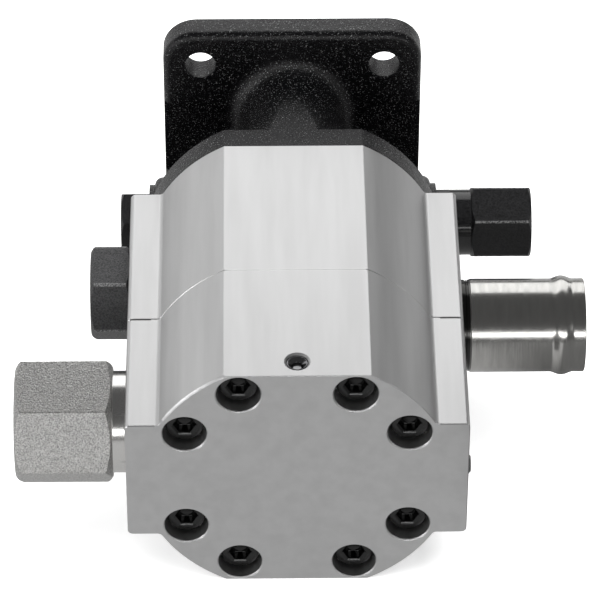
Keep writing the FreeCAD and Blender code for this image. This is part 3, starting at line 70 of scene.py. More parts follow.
MM = 0.001
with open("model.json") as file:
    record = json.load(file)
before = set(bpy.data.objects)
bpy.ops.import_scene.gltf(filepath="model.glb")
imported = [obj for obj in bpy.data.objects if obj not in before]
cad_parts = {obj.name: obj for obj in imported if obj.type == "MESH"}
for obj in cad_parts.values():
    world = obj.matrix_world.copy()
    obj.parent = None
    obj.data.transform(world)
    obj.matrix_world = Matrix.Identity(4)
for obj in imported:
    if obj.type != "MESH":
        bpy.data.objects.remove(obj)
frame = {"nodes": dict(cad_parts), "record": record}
CAD_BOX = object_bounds()


def span(node, axis=0):
    """Where a solid begins and ends along X, or along Y or Z with axis 1 or 2, in mm."""
    low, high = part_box(node)
    return low[axis] / MM, high[axis] / MM


def centre_line(node):
    """The axis, as (y, z), of a solid that is turned or hexagonal about a line along X."""
    low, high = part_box(node)
    return (low.y + high.y) / 2, (low.z + high.z) / 2


OUTLET_AXIS = centre_line("outlet_adapter")
CHECK_AXIS = centre_line("check_valve_cap")
UNLOADER_AXIS = centre_line("unloader_cap")
INLET_AXIS = centre_line("inlet_tube")

# The extruded body: its box, and how far from the middle its round sides meet the port sides
BODY_LOW, BODY_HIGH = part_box("rear_housing")
BODY_CENTRE_Z = (BODY_LOW.z + BODY_HIGH.z) / 2
BODY_HALF_HEIGHT = (BODY_HIGH.z - BODY_LOW.z) / 2
REAR_FACE_Y = BODY_LOW.y
MIDDLE_SEAM_Y = BODY_HIGH.y
EAR_ROOT = 36.6 * MM

# Stations along X in mm: the port faces, the inner ends of the adapter's and the unloading cap's
# hexagons, and the place where the tube's bright finish starts
PORT_FACE = BODY_HIGH.x / MM
OUTLET_SHOULDER = -48.5
CAP_SHOULDER = 50.0
TUBE_ROOT = 47.3


def linear(text):
    """Linear RGBA from an sRGB hex value such as #C8C8C8."""
    parts = [int(text[i : i + 2], 16) / 255 for i in (1, 3, 5)]
    return tuple(c / 12.92 if c <= 0.04045 else ((c + 0.055) / 1.055) ** 2.4 for c in parts) + (1.0,)


def length(name, description, default):
    """A size whose default is given in mm."""
    return FloatProperty(name=name, description=description, default=default * MM, min=0.0,
                         subtype="DISTANCE", unit="LENGTH", precision=5)


def colour(name, description, default):
    """A colour whose default is given as sRGB hex."""
    return FloatVectorProperty(name=name, description=description, subtype="COLOR", size=4,
                               default=linear(default), min=0.0, max=1.0)


def brightness(name, description, default):
    """A brightness, or a share of one."""
    return FloatProperty(name=name, description=description, default=default, min=0.0)


class PumpStudioSettings(bpy.types.PropertyGroup):
    """Light and floor of the studio."""

    sweep_radiance: brightness("Back sweep", "Brightness of the white panel behind the pump", 1.5)
    strip_radiance: brightness("Front strip", "Brightness of the low strip on the camera's side", 5.0)
    left_radiance: brightness("Left panel", "Brightness of the panel at the back left", 0.9)
    right_radiance: brightness("Right panel", "Brightness of the panel at the back right", 0.4)
    glint_radiance: brightness("Left glint", "Brightness of the small lamp at the front left", 5.0)
    right_glint: brightness("Right glint", "Small lamp at the front right, as a share of the left one", 0.35)
    fill_radiance: brightness("Overhead fill", "Brightness of the soft overhead lamp on the floor", 4.2)
    room_radiance: brightness("Room", "Brightness of the room round the lamps", 0.1)
    floor_glow: brightness("Floor glow", "Light that the floor adds where the camera sees it", 0.45)
    mirrored_floor: brightness("Mirrored floor", "Brightness of the floor where metal mirrors it", 0.47)
    # Painted shadow: share of the mirrored floor's brightness that is left at the front right, under the tube
    painted_shadow_share: brightness("Dark card", "Share of that brightness on the dark card at the front right", 0.25)
    floor_colour: colour("Floor", "Colour of the floor", "#F6F6F6")


class PumpFinishSettings(bpy.types.PropertyGroup):
    """Colours and grain of the pump's materials."""

    paint_colour: colour("Paint", "Black paint on the cast cover", "#060607")
    grain_colour: colour("Grain tips", "Tips of the casting's grains, which catch the light", "#C4C4C4")
    paint_grain: length("Casting grain", "Grain of the sand-cast surface under the paint", 0.38)
    aluminium_colour: colour("Aluminium", "Extruded and milled aluminium of the housings", "#CFCFCF")
    oxide_colour: colour("Black oxide", "Black oxide steel of caps, plugs and screws", "#1A1A1B")
    screw_colour: colour("Screws", "Oiled black steel of the socket screws", "#080808")
    phosphate_colour: colour("Phosphate", "Phosphated steel of the check valve's cap", "#3A3A3B")
    plated_colour: colour("Plated steel", "Blasted and plated steel of the outlet adapter", "#DEDDDB")
    tube_colour: colour("Plated tube", "Satin nickel of the hose tube", "#C8C7C4")


class PumpPieceSettings(bpy.types.PropertyGroup):
    """Sizes of the forged and turned pieces that a plain solid leaves out."""

    hex_corner: length("Hexagon corner", "Rounding along the corners of the forged hexagons", 0.5)
    edge_round: length("Edge round", "Rounding of the turned edges", 0.25)
    thread_pitch: length("Thread pitch", "Pitch of the outlet's taper pipe thread", 1.814)
    thread_height: length("Thread height", "Height of the outlet's taper pipe thread", 1.1)


# Surfaces


def ring_angles(tilt, samples=44):
    """Angles once round, crowded at the six corners of a hexagon that is turned by tilt degrees.

    Between two mid-sides the angle from the corner is a power of the sample's share of the way.
    """
    crowding = 2.4
    share = np.linspace(-1, 1, samples, endpoint=False)
    offset = np.radians(30) * np.sign(share) * np.abs(share) ** crowding
    corners = np.radians(tilt + 60 * np.arange(6))
    return (corners[:, None] + offset[None, :]).ravel()


def hex_radius(angles, width, tilt, corner):
    """Distance from the axis to a hexagon's side at each angle.

    It is a power mean over the three pairs of sides. The power is the one that takes as much off
    the corners as an arc of radius corner would.
    """
    reach = width / math.sqrt(3)
    lost = corner * (2 / math.sqrt(3) - 1)
    power = math.log(2) / -math.log(1 - lost / reach)
    normals = np.radians(tilt + 30 + 60 * np.arange(3))
    faces = np.abs(np.cos(angles[None, :] - normals[:, None])) ** power
    return width / 2 * faces.sum(axis=0) ** (-1 / power)


def soft_min(a, b, blend):
    """The smaller of two arrays, less a parabola where they differ by less than blend."""
    near = np.maximum(blend - np.abs(a - b), 0) / blend
    return np.minimum(a, b) - near ** 2 * blend / 4


def rounded(corners, radius):
    """Stations and radii of an open profile whose corners are arcs.

    Each corner (station, distance from the axis, in mm) turns into an arc tangent to both sides,
    which takes less than half of the shorter one. The first and last points are kept.
    """
    arc_points, longest = 6, 0.45
    points = np.array(corners, dtype=float) * MM
    middle = points[1:-1]
    before, after = points[:-2] - middle, points[2:] - middle
    long_before = np.linalg.norm(before, axis=1)[:, None]
    long_after = np.linalg.norm(after, axis=1)[:, None]
    before, after = before / long_before, after / long_after
    half = np.arccos(np.clip((before * after).sum(axis=1), -1, 1))[:, None] / 2
    size = np.minimum(radius, longest * np.minimum(long_before, long_after) * np.tan(half))
    inward = (before + after) / np.linalg.norm(before + after, axis=1)[:, None]
    centre = middle + inward * size / np.sin(half)
    start = middle + before * size / np.tan(half) - centre
    end = middle + after * size / np.tan(half) - centre
    share = np.linspace(0, 1, arc_points)[None, :, None]
    sweep = (np.pi - 2 * half)[:, :, None]
    arcs = np.sin((1 - share) * sweep) * start[:, None] + np.sin(share * sweep) * end[:, None]
    arcs = (arcs / np.sin(sweep) + centre[:, None]).reshape(-1, 2)
    return np.concatenate([points[:1], arcs, points[-1:]]).T


def lathe(corners, radius, angles):
    """Rings (stations, radii) of a rounded profile turned once round, one row for each of its points."""
    station, reach = rounded(corners, radius)
    ones = np.ones_like(angles)[None, :]
    return station[:, None] * ones, reach[:, None] * ones


def hex_bar(start, end, width, tilt, bites, angles, corner):
    """Rings of a hexagonal bar from start to end (mm along X), whose ends are chamfered.

    A chamfer is a cone at 30 degrees to the end face, and bites gives the radius where it starts at
    each end as a share of half the width. The rings near an end follow the line where its cone
    meets the sides, so that this line stays crisp.
    """
    slope = math.tan(math.radians(60))
    blend, spacing = 0.12 * MM, 0.5 * MM
    side = hex_radius(angles, width * MM, tilt, corner)[None, :]
    # Rings up to 1 lie on the chamfer as shares of its depth, and the others beyond it
    share = np.array([0.0, 0.06, 0.25, 0.5, 0.75, 0.9, 1.0, 1.1, 1.25, 1.5, 2.0, 3.0])[:, None]
    stations, reaches = [], []
    for at, inward, bite in ((start, np.sign(end - start), bites[0]), (end, np.sign(start - end), bites[1])):
        touch = width / 2 * bite * MM
        line = (side - touch) / slope
        deep = np.where(share <= 1, share * line, line + (share - 1) * spacing)
        stations.append(at * MM + inward * deep)
        reaches.append(soft_min(side * np.ones_like(share), touch + deep * slope, blend))
    return (np.concatenate([stations[0], stations[1][::-1]]),
            np.concatenate([reaches[0], reaches[1][::-1]]))


def grid_about_x(rings, angles, axis):
    """Points of rings round an axis along X through (y, z)."""
    station, reach = (np.concatenate(parts) for parts in zip(*rings))
    return np.stack([station, axis[0] + reach * np.cos(angles), axis[1] + reach * np.sin(angles)], axis=-1)


def grid_about_y(rings, angles, axis):
    """Points of rings round an axis along Y through (x, z)."""
    station, reach = (np.concatenate(parts) for parts in zip(*rings))
    return np.stack([axis[0] + reach * np.cos(angles), station, axis[1] + reach * np.sin(angles)], axis=-1)


def faces_of(rows, columns, looped):
    """Corner indices of a grid's quads, whose rows close on themselves.

    An open grid's first and last rows lie on the axis, and only their first point is used.
    """
    ring = np.arange(columns)
    after = (ring + 1) % columns
    if looped:
        low = (np.arange(rows) * columns)[:, None]
        high = (low + columns) % (rows * columns)
        return np.stack([low + ring, low + after, high + after, high + ring], axis=-1).reshape(-1, 4), None
    low = (np.arange(1, rows - 2) * columns)[:, None]
    high = low + columns
    quads = np.stack([low + ring, low + after, high + after, high + ring], axis=-1).reshape(-1, 4)
    first = np.stack([np.zeros_like(ring), columns + after, columns + ring], axis=-1)
    edge = (rows - 2) * columns
    last = np.stack([np.full_like(ring, (rows - 1) * columns), edge + ring, edge + after], axis=-1)
    return quads, np.concatenate([first, last])


def surface(name, grid, looped=False, copies=((0.0, 0.0, 0.0),)):
    """A closed, smooth object from a grid of points that goes once round in each row.

    A looped grid joins its last row to its first; another one ends in single points on its axis.
    Each entry of copies moves a repeat of the grid. Faces are turned outward by the signed volume.
    """
    rows, columns, _ = grid.shape
    quads, triangles = faces_of(rows, columns, looped)
    points = grid.reshape(-1, 3)
    if triangles is None:
        triangles = np.zeros((0, 3), dtype=int)
    a, b, c, d = (points[quads[:, k]] for k in range(4))
    volume = (np.cross(a, b) * c).sum() + (np.cross(a, c) * d).sum()
    if volume < 0:
        quads, triangles = quads[:, ::-1], triangles[:, ::-1]
    used = np.unique(np.concatenate([quads.ravel(), triangles.ravel()]))
    renumber = np.zeros(len(points), dtype=int)
    renumber[used] = np.arange(len(used))
    points, quads, triangles = points[used], renumber[quads], renumber[triangles]
    moves = np.array(copies)
    steps = np.arange(len(moves))[:, None, None] * len(points)
    points = (points[None] + moves[:, None]).reshape(-1, 3)
    quads = (quads[None] + steps).reshape(-1, 4)
    triangles = (triangles[None] + steps).reshape(-1, 3)
    mesh = bpy.data.meshes.new(name)
    mesh.vertices.add(len(points))
    mesh.vertices.foreach_set("co", points.astype(np.float32).ravel())
    corners = np.concatenate([quads.ravel(), triangles.ravel()])
    mesh.loops.add(len(corners))
    mesh.loops.foreach_set("vertex_index", corners.astype(np.int32))
    starts = np.concatenate([np.arange(len(quads)) * 4, quads.size + np.arange(len(triangles)) * 3])
    mesh.polygons.add(len(starts))
    mesh.polygons.foreach_set("loop_start", starts.astype(np.int32))
    mesh.update(calc_edges=True)
    mesh.shade_smooth()
    piece = bpy.data.objects.new(name, mesh)
    bpy.context.scene.collection.objects.link(piece)
    weigh = piece.modifiers.new("even_normals", "WEIGHTED_NORMAL")
    weigh.weight = 90
    return piece


def stand_in(piece, node, material):
    """The piece takes a solid's place on the casing, in the finish it is given."""
    piece.data.materials.append(material)
    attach(piece, "casing")
    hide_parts(node)


# Materials


def add(tree, kind, inputs=None, **settings):
    """Add a node with its settings. Its sockets, by name or number, take values, sockets or nodes."""
    made = tree.nodes.new(kind)
    for name, value in settings.items():
        setattr(made, name, value)
    for name, value in (inputs or {}).items():
        if isinstance(value, bpy.types.Node):
            value = value.outputs[0]
        if isinstance(value, bpy.types.NodeSocket):
            tree.links.new(value, made.inputs[name])
        else:
            made.inputs[name].default_value = value
    return made


def blank_material(name):
    """A material with a Principled shader wired to its output, and the socket of object places."""
    material = bpy.data.materials.new(name)
    material.use_nodes = True
    tree = material.node_tree
    tree.nodes.clear()
    shader = add(tree, "ShaderNodeBsdfPrincipled")
    add(tree, "ShaderNodeOutputMaterial", {"Surface": shader.outputs["BSDF"]})
    place = add(tree, "ShaderNodeTexCoord").outputs["Object"]
    return material, tree, shader, place


def grain(tree, place, spacing, detail=2.0, roughness=0.5, held=None):
    """Noise from 0 to 1; spacing is the size of a grain in mm, or one size for each axis.

    held gives two noise values that are stretched to 0 and 1. Blast marks, die lines, polishing
    lines and mould grain are finer than the picture can show, so they are drawn a quarter to three
    quarters of a millimetre apart.
    """
    sizes = spacing if isinstance(spacing, tuple) else (spacing,) * 3
    scaled = add(tree, "ShaderNodeMapping", {"Vector": place, "Scale": tuple(1 / (s * MM) for s in sizes)})
    noise = add(tree, "ShaderNodeTexNoise", {"Vector": scaled, "Scale": 1.0, "Detail": detail,
                                             "Roughness": roughness})
    if held is None:
        return noise
    return add(tree, "ShaderNodeMapRange", {"Value": noise, "From Min": held[0], "From Max": held[1]})


def relief(tree, shader, layers):
    """Stack bump layers, each (height, depth in mm), into the shader's normal."""
    normal = None
    for height, depth in layers:
        inputs = {"Height": height, "Strength": 1.0, "Distance": depth * MM}
        if normal is not None:
            inputs["Normal"] = normal
        normal = add(tree, "ShaderNodeBump", inputs)
    tree.links.new(normal.outputs[0], shader.inputs["Normal"])


def darker(base, share):
    """A colour with its red, green and blue cut to a share."""
    return tuple(c * share for c in base[:3]) + (1.0,)


def tint(tree, shader, base, dark, amount):
    """Base colour, cut to the share dark as amount goes from 0 to 1."""
    mixed = add(tree, "ShaderNodeMix", {0: amount, 6: base, 7: darker(base, dark)}, data_type="RGBA")
    tree.links.new(mixed.outputs[2], shader.inputs["Base Color"])


def dull(tree, shader, amount, low, high):
    """Roughness from low to high as amount goes from 0 to 1."""
    made = add(tree, "ShaderNodeMapRange", {"Value": amount, "To Min": low, "To Max": high})
    tree.links.new(made.outputs[0], shader.inputs["Roughness"])


def extruded_aluminium(settings):
    """Extruded aluminium, whose flats, port sides and ends are milled and then blasted.

    Die lines along the shaft give the round sides a faint streak, and the milled faces look even.
    """
    material, tree, shader, place = blank_material("extruded aluminium")
    axes = add(tree, "ShaderNodeSeparateXYZ", {"Vector": place}).outputs
    above = add(tree, "ShaderNodeMath", {0: axes["Z"], 1: BODY_CENTRE_Z}, operation="SUBTRACT")
    height = add(tree, "ShaderNodeMath", {0: above}, operation="ABSOLUTE")
    width = add(tree, "ShaderNodeMath", {0: axes["X"]}, operation="ABSOLUTE")
    behind = add(tree, "ShaderNodeMath", {0: axes["Y"], 1: MIDDLE_SEAM_Y}, operation="SUBTRACT")
    off_seam = add(tree, "ShaderNodeMath", {0: behind}, operation="ABSOLUTE")
    # Each mask is 0 up to the first place and 1 from the second on. The flats are 37 mm wide.
    flats, rear, port_sides, top, middle, seam = (
        add(tree, "ShaderNodeMapRange", {"Value": value, "From Min": nought, "From Max": one})
        for value, nought, one in (
            (height, BODY_HALF_HEIGHT - 0.08 * MM, BODY_HALF_HEIGHT - 0.04 * MM),
            (axes["Y"], REAR_FACE_Y + 0.15 * MM, REAR_FACE_Y + 0.05 * MM),
            (width, EAR_ROOT - 0.2 * MM, EAR_ROOT + 0.2 * MM),
            (height, BODY_HALF_HEIGHT - 0.5 * MM, BODY_HALF_HEIGHT - 0.4 * MM),
            (width, 18.6 * MM, 18.4 * MM),
            (off_seam, 0.35 * MM, 0.3 * MM)))
    ends = add(tree, "ShaderNodeMath", {0: flats, 1: rear}, operation="MAXIMUM")
    milled = add(tree, "ShaderNodeMath", {0: ends, 1: port_sides}, operation="MAXIMUM")
    drawn = add(tree, "ShaderNodeMath", {0: 1.0, 1: milled}, operation="SUBTRACT")
    die_lines, streaks, milling = (
        add(tree, "ShaderNodeMath", {0: pattern, 1: where}, operation="MULTIPLY")
        for pattern, where in ((grain(tree, place, (0.6, 45.0, 0.6), 3.0, 0.6), drawn),
                               (grain(tree, place, (4.0, 120.0, 4.0), 1.0), drawn),
                               (grain(tree, place, (14.0, 0.6, 14.0)), milled)))
    uneven = grain(tree, place, (4.0, 40.0, 4.0), held=(0.35, 0.7))
    tint(tree, shader, settings.aluminium_colour, 0.93, uneven)
    dull(tree, shader, die_lines, 0.36, 0.48)
    # The flats are milled across both housings at once, which fills their seam with a dull burr
    crossing = add(tree, "ShaderNodeMath", {0: seam, 1: top}, operation="MULTIPLY")
    burr = add(tree, "ShaderNodeMath", {0: crossing, 1: middle}, operation="MULTIPLY")
    clean = add(tree, "ShaderNodeMapRange", {"Value": burr, "To Min": 1.0, "To Max": 0.55})
    tree.links.new(clean.outputs[0], shader.inputs["Metallic"])
    blast = grain(tree, place, 0.5)
    relief(tree, shader, [(die_lines, 0.014), (streaks, 0.09), (milling, 0.006), (blast, 0.006)])
    return material


def painted_casting(settings):
    """Glossy black paint over sand-cast iron, whose grains break through it as bright points.

    The mounting face is turned flat, so it has neither grain nor points.
    """
    material, tree, shader, place = blank_material("black painted cast iron")
    axes = add(tree, "ShaderNodeSeparateXYZ", {"Vector": place}).outputs
    size = settings.paint_grain / MM
    cast = add(tree, "ShaderNodeMapRange", {"Value": axes["Y"], "From Min": -0.02 * MM,
                                            "From Max": -0.10 * MM})
    sand, swell, sparkle = (
        add(tree, "ShaderNodeMath", {0: pattern, 1: cast}, operation="MULTIPLY")
        for pattern in (grain(tree, place, size, 2.0, 0.6), grain(tree, place, size * 6),
                        grain(tree, place, size, 2.0, 0.8, held=(0.63, 0.78))))
    mixed = add(tree, "ShaderNodeMix", {0: sparkle, 6: settings.paint_colour, 7: settings.grain_colour},
                data_type="RGBA")
    tree.links.new(mixed.outputs[2], shader.inputs["Base Color"])
    tree.links.new(sparkle.outputs[0], shader.inputs["Metallic"])
    shader.inputs["Specular IOR Level"].default_value = 0.36
    dull(tree, shader, grain(tree, place, size * 4, held=(0.3, 0.7)), 0.12, 0.22)
    relief(tree, shader, [(swell, 0.2), (sand, 0.16)])
    return material


def blackened_steel(name, base, rough, size, depth, worn_from=None, neck=None):
    """Blackened steel, whose fine coating looks matt and a little uneven.

    rough gives the least and the greatest roughness, and size and depth the coating's grain in mm.
    worn_from gives the axis (y, z) of a hexagonal bar along X and the radius in mm from which its
    corners are worn bright, and neck the stations in mm between which it is turned smooth.
    """
    material, tree, shader, place = blank_material(name)
    tips = grain(tree, place, size, 2.0, 0.8, held=(0.42, 0.62))
    skin = grain(tree, place, size, 2.0, 0.6)
    shade = add(tree, "ShaderNodeMix", {0: tips, 6: base, 7: darker(base, 0.2)}, data_type="RGBA").outputs[2]
    if worn_from is not None:
        (y, z), radius = worn_from
        across = add(tree, "ShaderNodeMapping", {"Vector": place, "Scale": (0.0, 1.0, 1.0)})
        off_axis = add(tree, "ShaderNodeVectorMath", {0: across, 1: (0.0, y, z)}, operation="DISTANCE")
        corner = add(tree, "ShaderNodeMapRange", {"Value": off_axis.outputs["Value"], "From Min": radius * MM,
                                                  "From Max": (radius + 0.12) * MM})
        worn = add(tree, "ShaderNodeMath", {0: corner, 1: tips}, operation="MULTIPLY")
        shade = add(tree, "ShaderNodeMix", {0: worn, 6: shade, 7: linear("#9C9C9C")},
                    data_type="RGBA").outputs[2]
        tree.links.new(worn.outputs[0], shader.inputs["Metallic"])
    if neck is None:
        matt = grain(tree, place, 5.0, held=(0.35, 0.7))
    else:
        along = add(tree, "ShaderNodeSeparateXYZ", {"Vector": place}).outputs["X"]
        past, short = (add(tree, "ShaderNodeMapRange", {"Value": along, "From Min": at * MM,
                                                        "From Max": (at + way) * MM})
                       for at, way in ((neck[0], 0.1), (neck[1], -0.1)))
        turned = add(tree, "ShaderNodeMath", {0: past, 1: short}, operation="MULTIPLY")
        matt = add(tree, "ShaderNodeMath", {0: 1.0, 1: turned}, operation="SUBTRACT")
        skin = add(tree, "ShaderNodeMath", {0: skin, 1: matt}, operation="MULTIPLY")
    tree.links.new(shade, shader.inputs["Base Color"])
    dull(tree, shader, matt, *rough)
    relief(tree, shader, [(skin, depth)])
    return material


def blasted_plating(settings):
    """Forged steel, blasted and plated, whose pits look like bright and dark specks.

    The neck between the hexagon and the body is turned smooth.
    """
    material, tree, shader, place = blank_material("blasted plated steel")
    shader.inputs["Metallic"].default_value = 1.0
    along = add(tree, "ShaderNodeSeparateXYZ", {"Vector": place}).outputs["X"]
    forged = add(tree, "ShaderNodeMapRange", {"Value": along, "From Min": (OUTLET_SHOULDER + 0.05) * MM,
                                              "From Max": (OUTLET_SHOULDER - 0.05) * MM})
    pits, specks = (add(tree, "ShaderNodeMath", {0: pattern, 1: forged}, operation="MULTIPLY")
                    for pattern in (grain(tree, place, 0.5, 2.0, 0.7),
                                    grain(tree, place, 0.4, 2.0, 0.75, held=(0.38, 0.66))))
    tint(tree, shader, settings.plated_colour, 0.4, specks)
    dull(tree, shader, forged, 0.2, 0.42)
    relief(tree, shader, [(pits, 0.3)])
    return material


def satin_tube(settings):
    """Steel tube, polished round and nickel plated, with long soft highlights and faint blotches.

    Its root in the port is dark.
    """
    material, tree, shader, place = blank_material("satin nickel plated steel")
    shader.inputs["Metallic"].default_value = 1.0
    polish = grain(tree, place, (0.7, 30.0, 30.0), 3.0, 0.65)
    blotch = grain(tree, place, (1.6, 8.0, 8.0), 3.0, held=(0.35, 0.7))
    along = add(tree, "ShaderNodeSeparateXYZ", {"Vector": place}).outputs["X"]
    root = add(tree, "ShaderNodeMapRange", {"Value": along, "From Min": (TUBE_ROOT + 0.05) * MM,
                                            "From Max": (TUBE_ROOT - 0.1) * MM})
    faint = add(tree, "ShaderNodeMath", {0: 0.14, 1: blotch}, operation="MULTIPLY")
    dark = add(tree, "ShaderNodeMath", {0: faint, 1: root}, operation="MAXIMUM")
    tint(tree, shader, settings.tube_colour, 0.08, dark)
    dull(tree, shader, blotch, 0.17, 0.23)
    relief(tree, shader, [(polish, 0.03)])
    return material


def inner_metal(name, base, rough, grit, depth):
    """A machined metal of the inner pieces, whose fine marks spread its highlights."""
    material, tree, shader, place = blank_material(name)
    shader.inputs["Metallic"].default_value = 1.0
    marks = grain(tree, place, grit, 2.0, 0.6)
    tint(tree, shader, linear(base), 0.85, grain(tree, place, 4.0, held=(0.4, 0.75)))
    dull(tree, shader, marks, rough, rough + 0.1)
    relief(tree, shader, [(marks, depth)])
    return material


def moulded_rubber():
    """Black nitrile rubber, which the faint grain of its mould makes matt."""
    material, tree, shader, place = blank_material("nitrile rubber")
    shader.inputs["Base Color"].default_value = linear("#0C0C0C")
    fine = grain(tree, place, 0.25)
    dull(tree, shader, fine, 0.5, 0.65)
    relief(tree, shader, [(fine, 0.01)])
    return material


def finishes():
    """The material of each record slot, made once, and those of single pieces."""
    made = bpy.data.materials
    if "extruded aluminium" not in made:
        settings = bpy.context.scene.pump_finish
        painted_casting(settings)
        extruded_aluminium(settings)
        blackened_steel("black oxide steel", settings.oxide_colour, (0.14, 0.39), 0.5, 0.09,
                        (UNLOADER_AXIS, 10.9), (44.0, CAP_SHOULDER - 0.1))
        # The phosphate coating is evenly matt
        blackened_steel("black phosphated steel", settings.phosphate_colour, (0.45, 0.45), 0.45, 0.3,
                        (CHECK_AXIS, 13.3))
        blackened_steel("oiled black screw", settings.screw_colour, (0.16, 0.26), 0.5, 0.02)
        blasted_plating(settings)
        satin_tube(settings)
        inner_metal("oiled dark steel", "#8A8A8C", 0.12, 0.5, 0.003)
        inner_metal("ground steel", "#B5B5B7", 0.2, (0.3, 20.0, 0.3), 0.002)
        inner_metal("spring steel", "#8C8C90", 0.28, 0.5, 0.004)
        inner_metal("machined bearing aluminium", "#C8C8C8", 0.32, 0.3, 0.003)
        inner_metal("bearing bronze", "#B98E55", 0.3, (0.3, 10.0, 0.3), 0.003)
        moulded_rubber()
    return {
        "cast_iron_black": made["black painted cast iron"],
        "extruded_aluminium": made["extruded aluminium"],
        "black_oxide_steel": made["black oxide steel"],
        "zinc_plated_steel": made["blasted plated steel"],
        "plated_steel_tube": made["satin nickel plated steel"],
        "hardened_steel": made["ground steel"],
        "spring_steel": made["spring steel"],
        "bearing_aluminium": made["machined bearing aluminium"],
        "bronze": made["bearing bronze"],
        "nitrile_rubber": made["nitrile rubber"],
    }


# Operators


class PUMP_OT_studio(bpy.types.Operator):
    """Set up the floor, the lamps, the world and the camera"""

    bl_idname = "pump.studio"
    bl_label = "Studio"

    def execute(self, context):
        settings = context.scene.pump_studio
        self.lay_floor(settings)
        world = bpy.data.worlds.new("dim studio room")
        context.scene.world = world
        world.use_nodes = True
        background = world.node_tree.nodes["Background"]
        background.inputs["Color"].default_value = linear("#FFFFFF")
        background.inputs["Strength"].default_value = settings.room_radiance
        # Each lamp has a place, a width and a height in metres, and a radiance
        self.hang_lamp("back_sweep", (0.0, 1.00, 0.62), 1.45, 0.95, settings.sweep_radiance)
        self.hang_lamp("front_strip", (-0.05, -1.15, 0.33), 1.60, 0.18, settings.strip_radiance)
        self.hang_lamp("left_panel", (-0.92, 0.62, 0.26), 0.85, 0.60, settings.left_radiance)
        self.hang_lamp("right_panel", (0.92, 0.62, 0.14), 0.70, 0.36, settings.right_radiance)
        self.hang_lamp("left_glint", (-1.03, -0.56, 0.25), 0.45, 0.40, settings.glint_radiance)
        self.hang_lamp("right_glint", (1.03, -0.56, 0.25), 0.35, 0.30,
                       settings.right_glint * settings.glint_radiance)
        self.hang_lamp("overhead_fill", (0.0, -0.1, 1.50), 2.0, 2.0, settings.fill_radiance,
                       in_gloss=False)
        context.scene.camera = self.place_camera()
        context.scene.view_settings.view_transform = "Standard"
        return {"FINISHED"}

    def lay_floor(self, settings):
        """A matt floor, white to the camera and grey where polished metal mirrors it.

        At the front right, where the tube's lower side sees it, the mirrored floor is darker: a painted
        shadow under the tube.
        """
        ground = CAD_BOX[0].z
        half = 4.0
        mesh = bpy.data.meshes.new("studio_floor")
        corners = [(-half, -half, ground), (half, -half, ground), (half, half, ground), (-half, half, ground)]
        mesh.from_pydata(corners, [], [(0, 1, 2, 3)])
        floor = bpy.data.objects.new("studio_floor", mesh)
        bpy.context.scene.collection.objects.link(floor)
        material, tree, shader, place = blank_material("painted studio floor")
        path = add(tree, "ShaderNodeLightPath").outputs
        seen, mirrored = path["Is Camera Ray"], path["Is Glossy Ray"]
        axes = add(tree, "ShaderNodeSeparateXYZ", {"Vector": place}).outputs
        # Painted shadow: where metal mirrors the floor, it is darker at the front right under the tube
        right = add(tree, "ShaderNodeMapRange", {"Value": axes["X"], "From Min": 0.05, "From Max": 0.07})
        front = add(tree, "ShaderNodeMapRange", {"Value": axes["Y"], "From Min": -0.02, "From Max": -0.06})
        painted_shadow_mask = add(tree, "ShaderNodeMath", {0: right, 1: front}, operation="MULTIPLY")
        shade = add(tree, "ShaderNodeMapRange", {"Value": painted_shadow_mask, "To Min": settings.mirrored_floor,
                                                 "To Max": settings.painted_shadow_share * settings.mirrored_floor})
        direct = add(tree, "ShaderNodeMix", {0: seen, 6: linear("#C4C4C4"), 7: settings.floor_colour},
                     data_type="RGBA").outputs[2]
        base = add(tree, "ShaderNodeMix", {0: mirrored, 6: direct, 7: linear("#404040")},
                   data_type="RGBA").outputs[2]
        glow = add(tree, "ShaderNodeMix", {0: mirrored, 2: settings.floor_glow, 3: shade})
        either = add(tree, "ShaderNodeMath", {0: mirrored, 1: seen}, operation="MAXIMUM")
        strength = add(tree, "ShaderNodeMath", {0: glow, 1: either}, operation="MULTIPLY")
        tree.links.new(base, shader.inputs["Base Color"])
        tree.links.new(strength.outputs[0], shader.inputs["Emission Strength"])
        shader.inputs["Roughness"].default_value = 0.9
        shader.inputs["Specular IOR Level"].default_value = 0.0
        shader.inputs["Emission Color"].default_value = linear("#FFFFFF")
        mesh.materials.append(material)

    def hang_lamp(self, name, place, width, height, radiance, in_gloss=True):
        """A soft rectangular lamp aimed at the pump; its power follows from area and radiance."""
        data = bpy.data.lights.new(name, "AREA")
        data.shape = "RECTANGLE"
        data.size = width
        data.size_y = height
        data.energy = radiance * math.pi * width * height
        lamp = bpy.data.objects.new(name, data)
        bpy.context.scene.collection.objects.link(lamp)
        lamp.location = place
        aim = Vector((0.0, -0.06, -0.01))
        lamp.rotation_euler = (aim - Vector(place)).to_track_quat("-Z", "Y").to_euler()
        lamp.visible_camera = False
        lamp.visible_glossy = in_gloss

    def place_camera(self):
        """The photograph's viewpoint, from behind and above."""
        camera = bpy.data.cameras.new("photo_camera")
        camera.lens = 251.45
        camera.sensor_width = 36.0
        camera.clip_start = 0.05
        camera.clip_end = 20.0
        holder = bpy.data.objects.new("photo_camera", camera)
        bpy.context.scene.collection.objects.link(holder)
        place = Vector((-0.00995, -0.9299, 0.7384))
        turn, drop, roll = math.radians(0.76), math.radians(40.91), math.radians(0.13)
        ahead = Vector((math.sin(turn) * math.cos(drop), math.cos(turn) * math.cos(drop), -math.sin(drop)))
        level = Vector((math.cos(turn), -math.sin(turn), 0.0))
        above = level.cross(ahead)
        right = level * math.cos(roll) + above * math.sin(roll)
        up = above * math.cos(roll) - level * math.sin(roll)
        axes = Matrix((right, up, -ahead)).transposed()
        holder.matrix_world = Matrix.Translation(place) @ axes.to_4x4()
        return holder


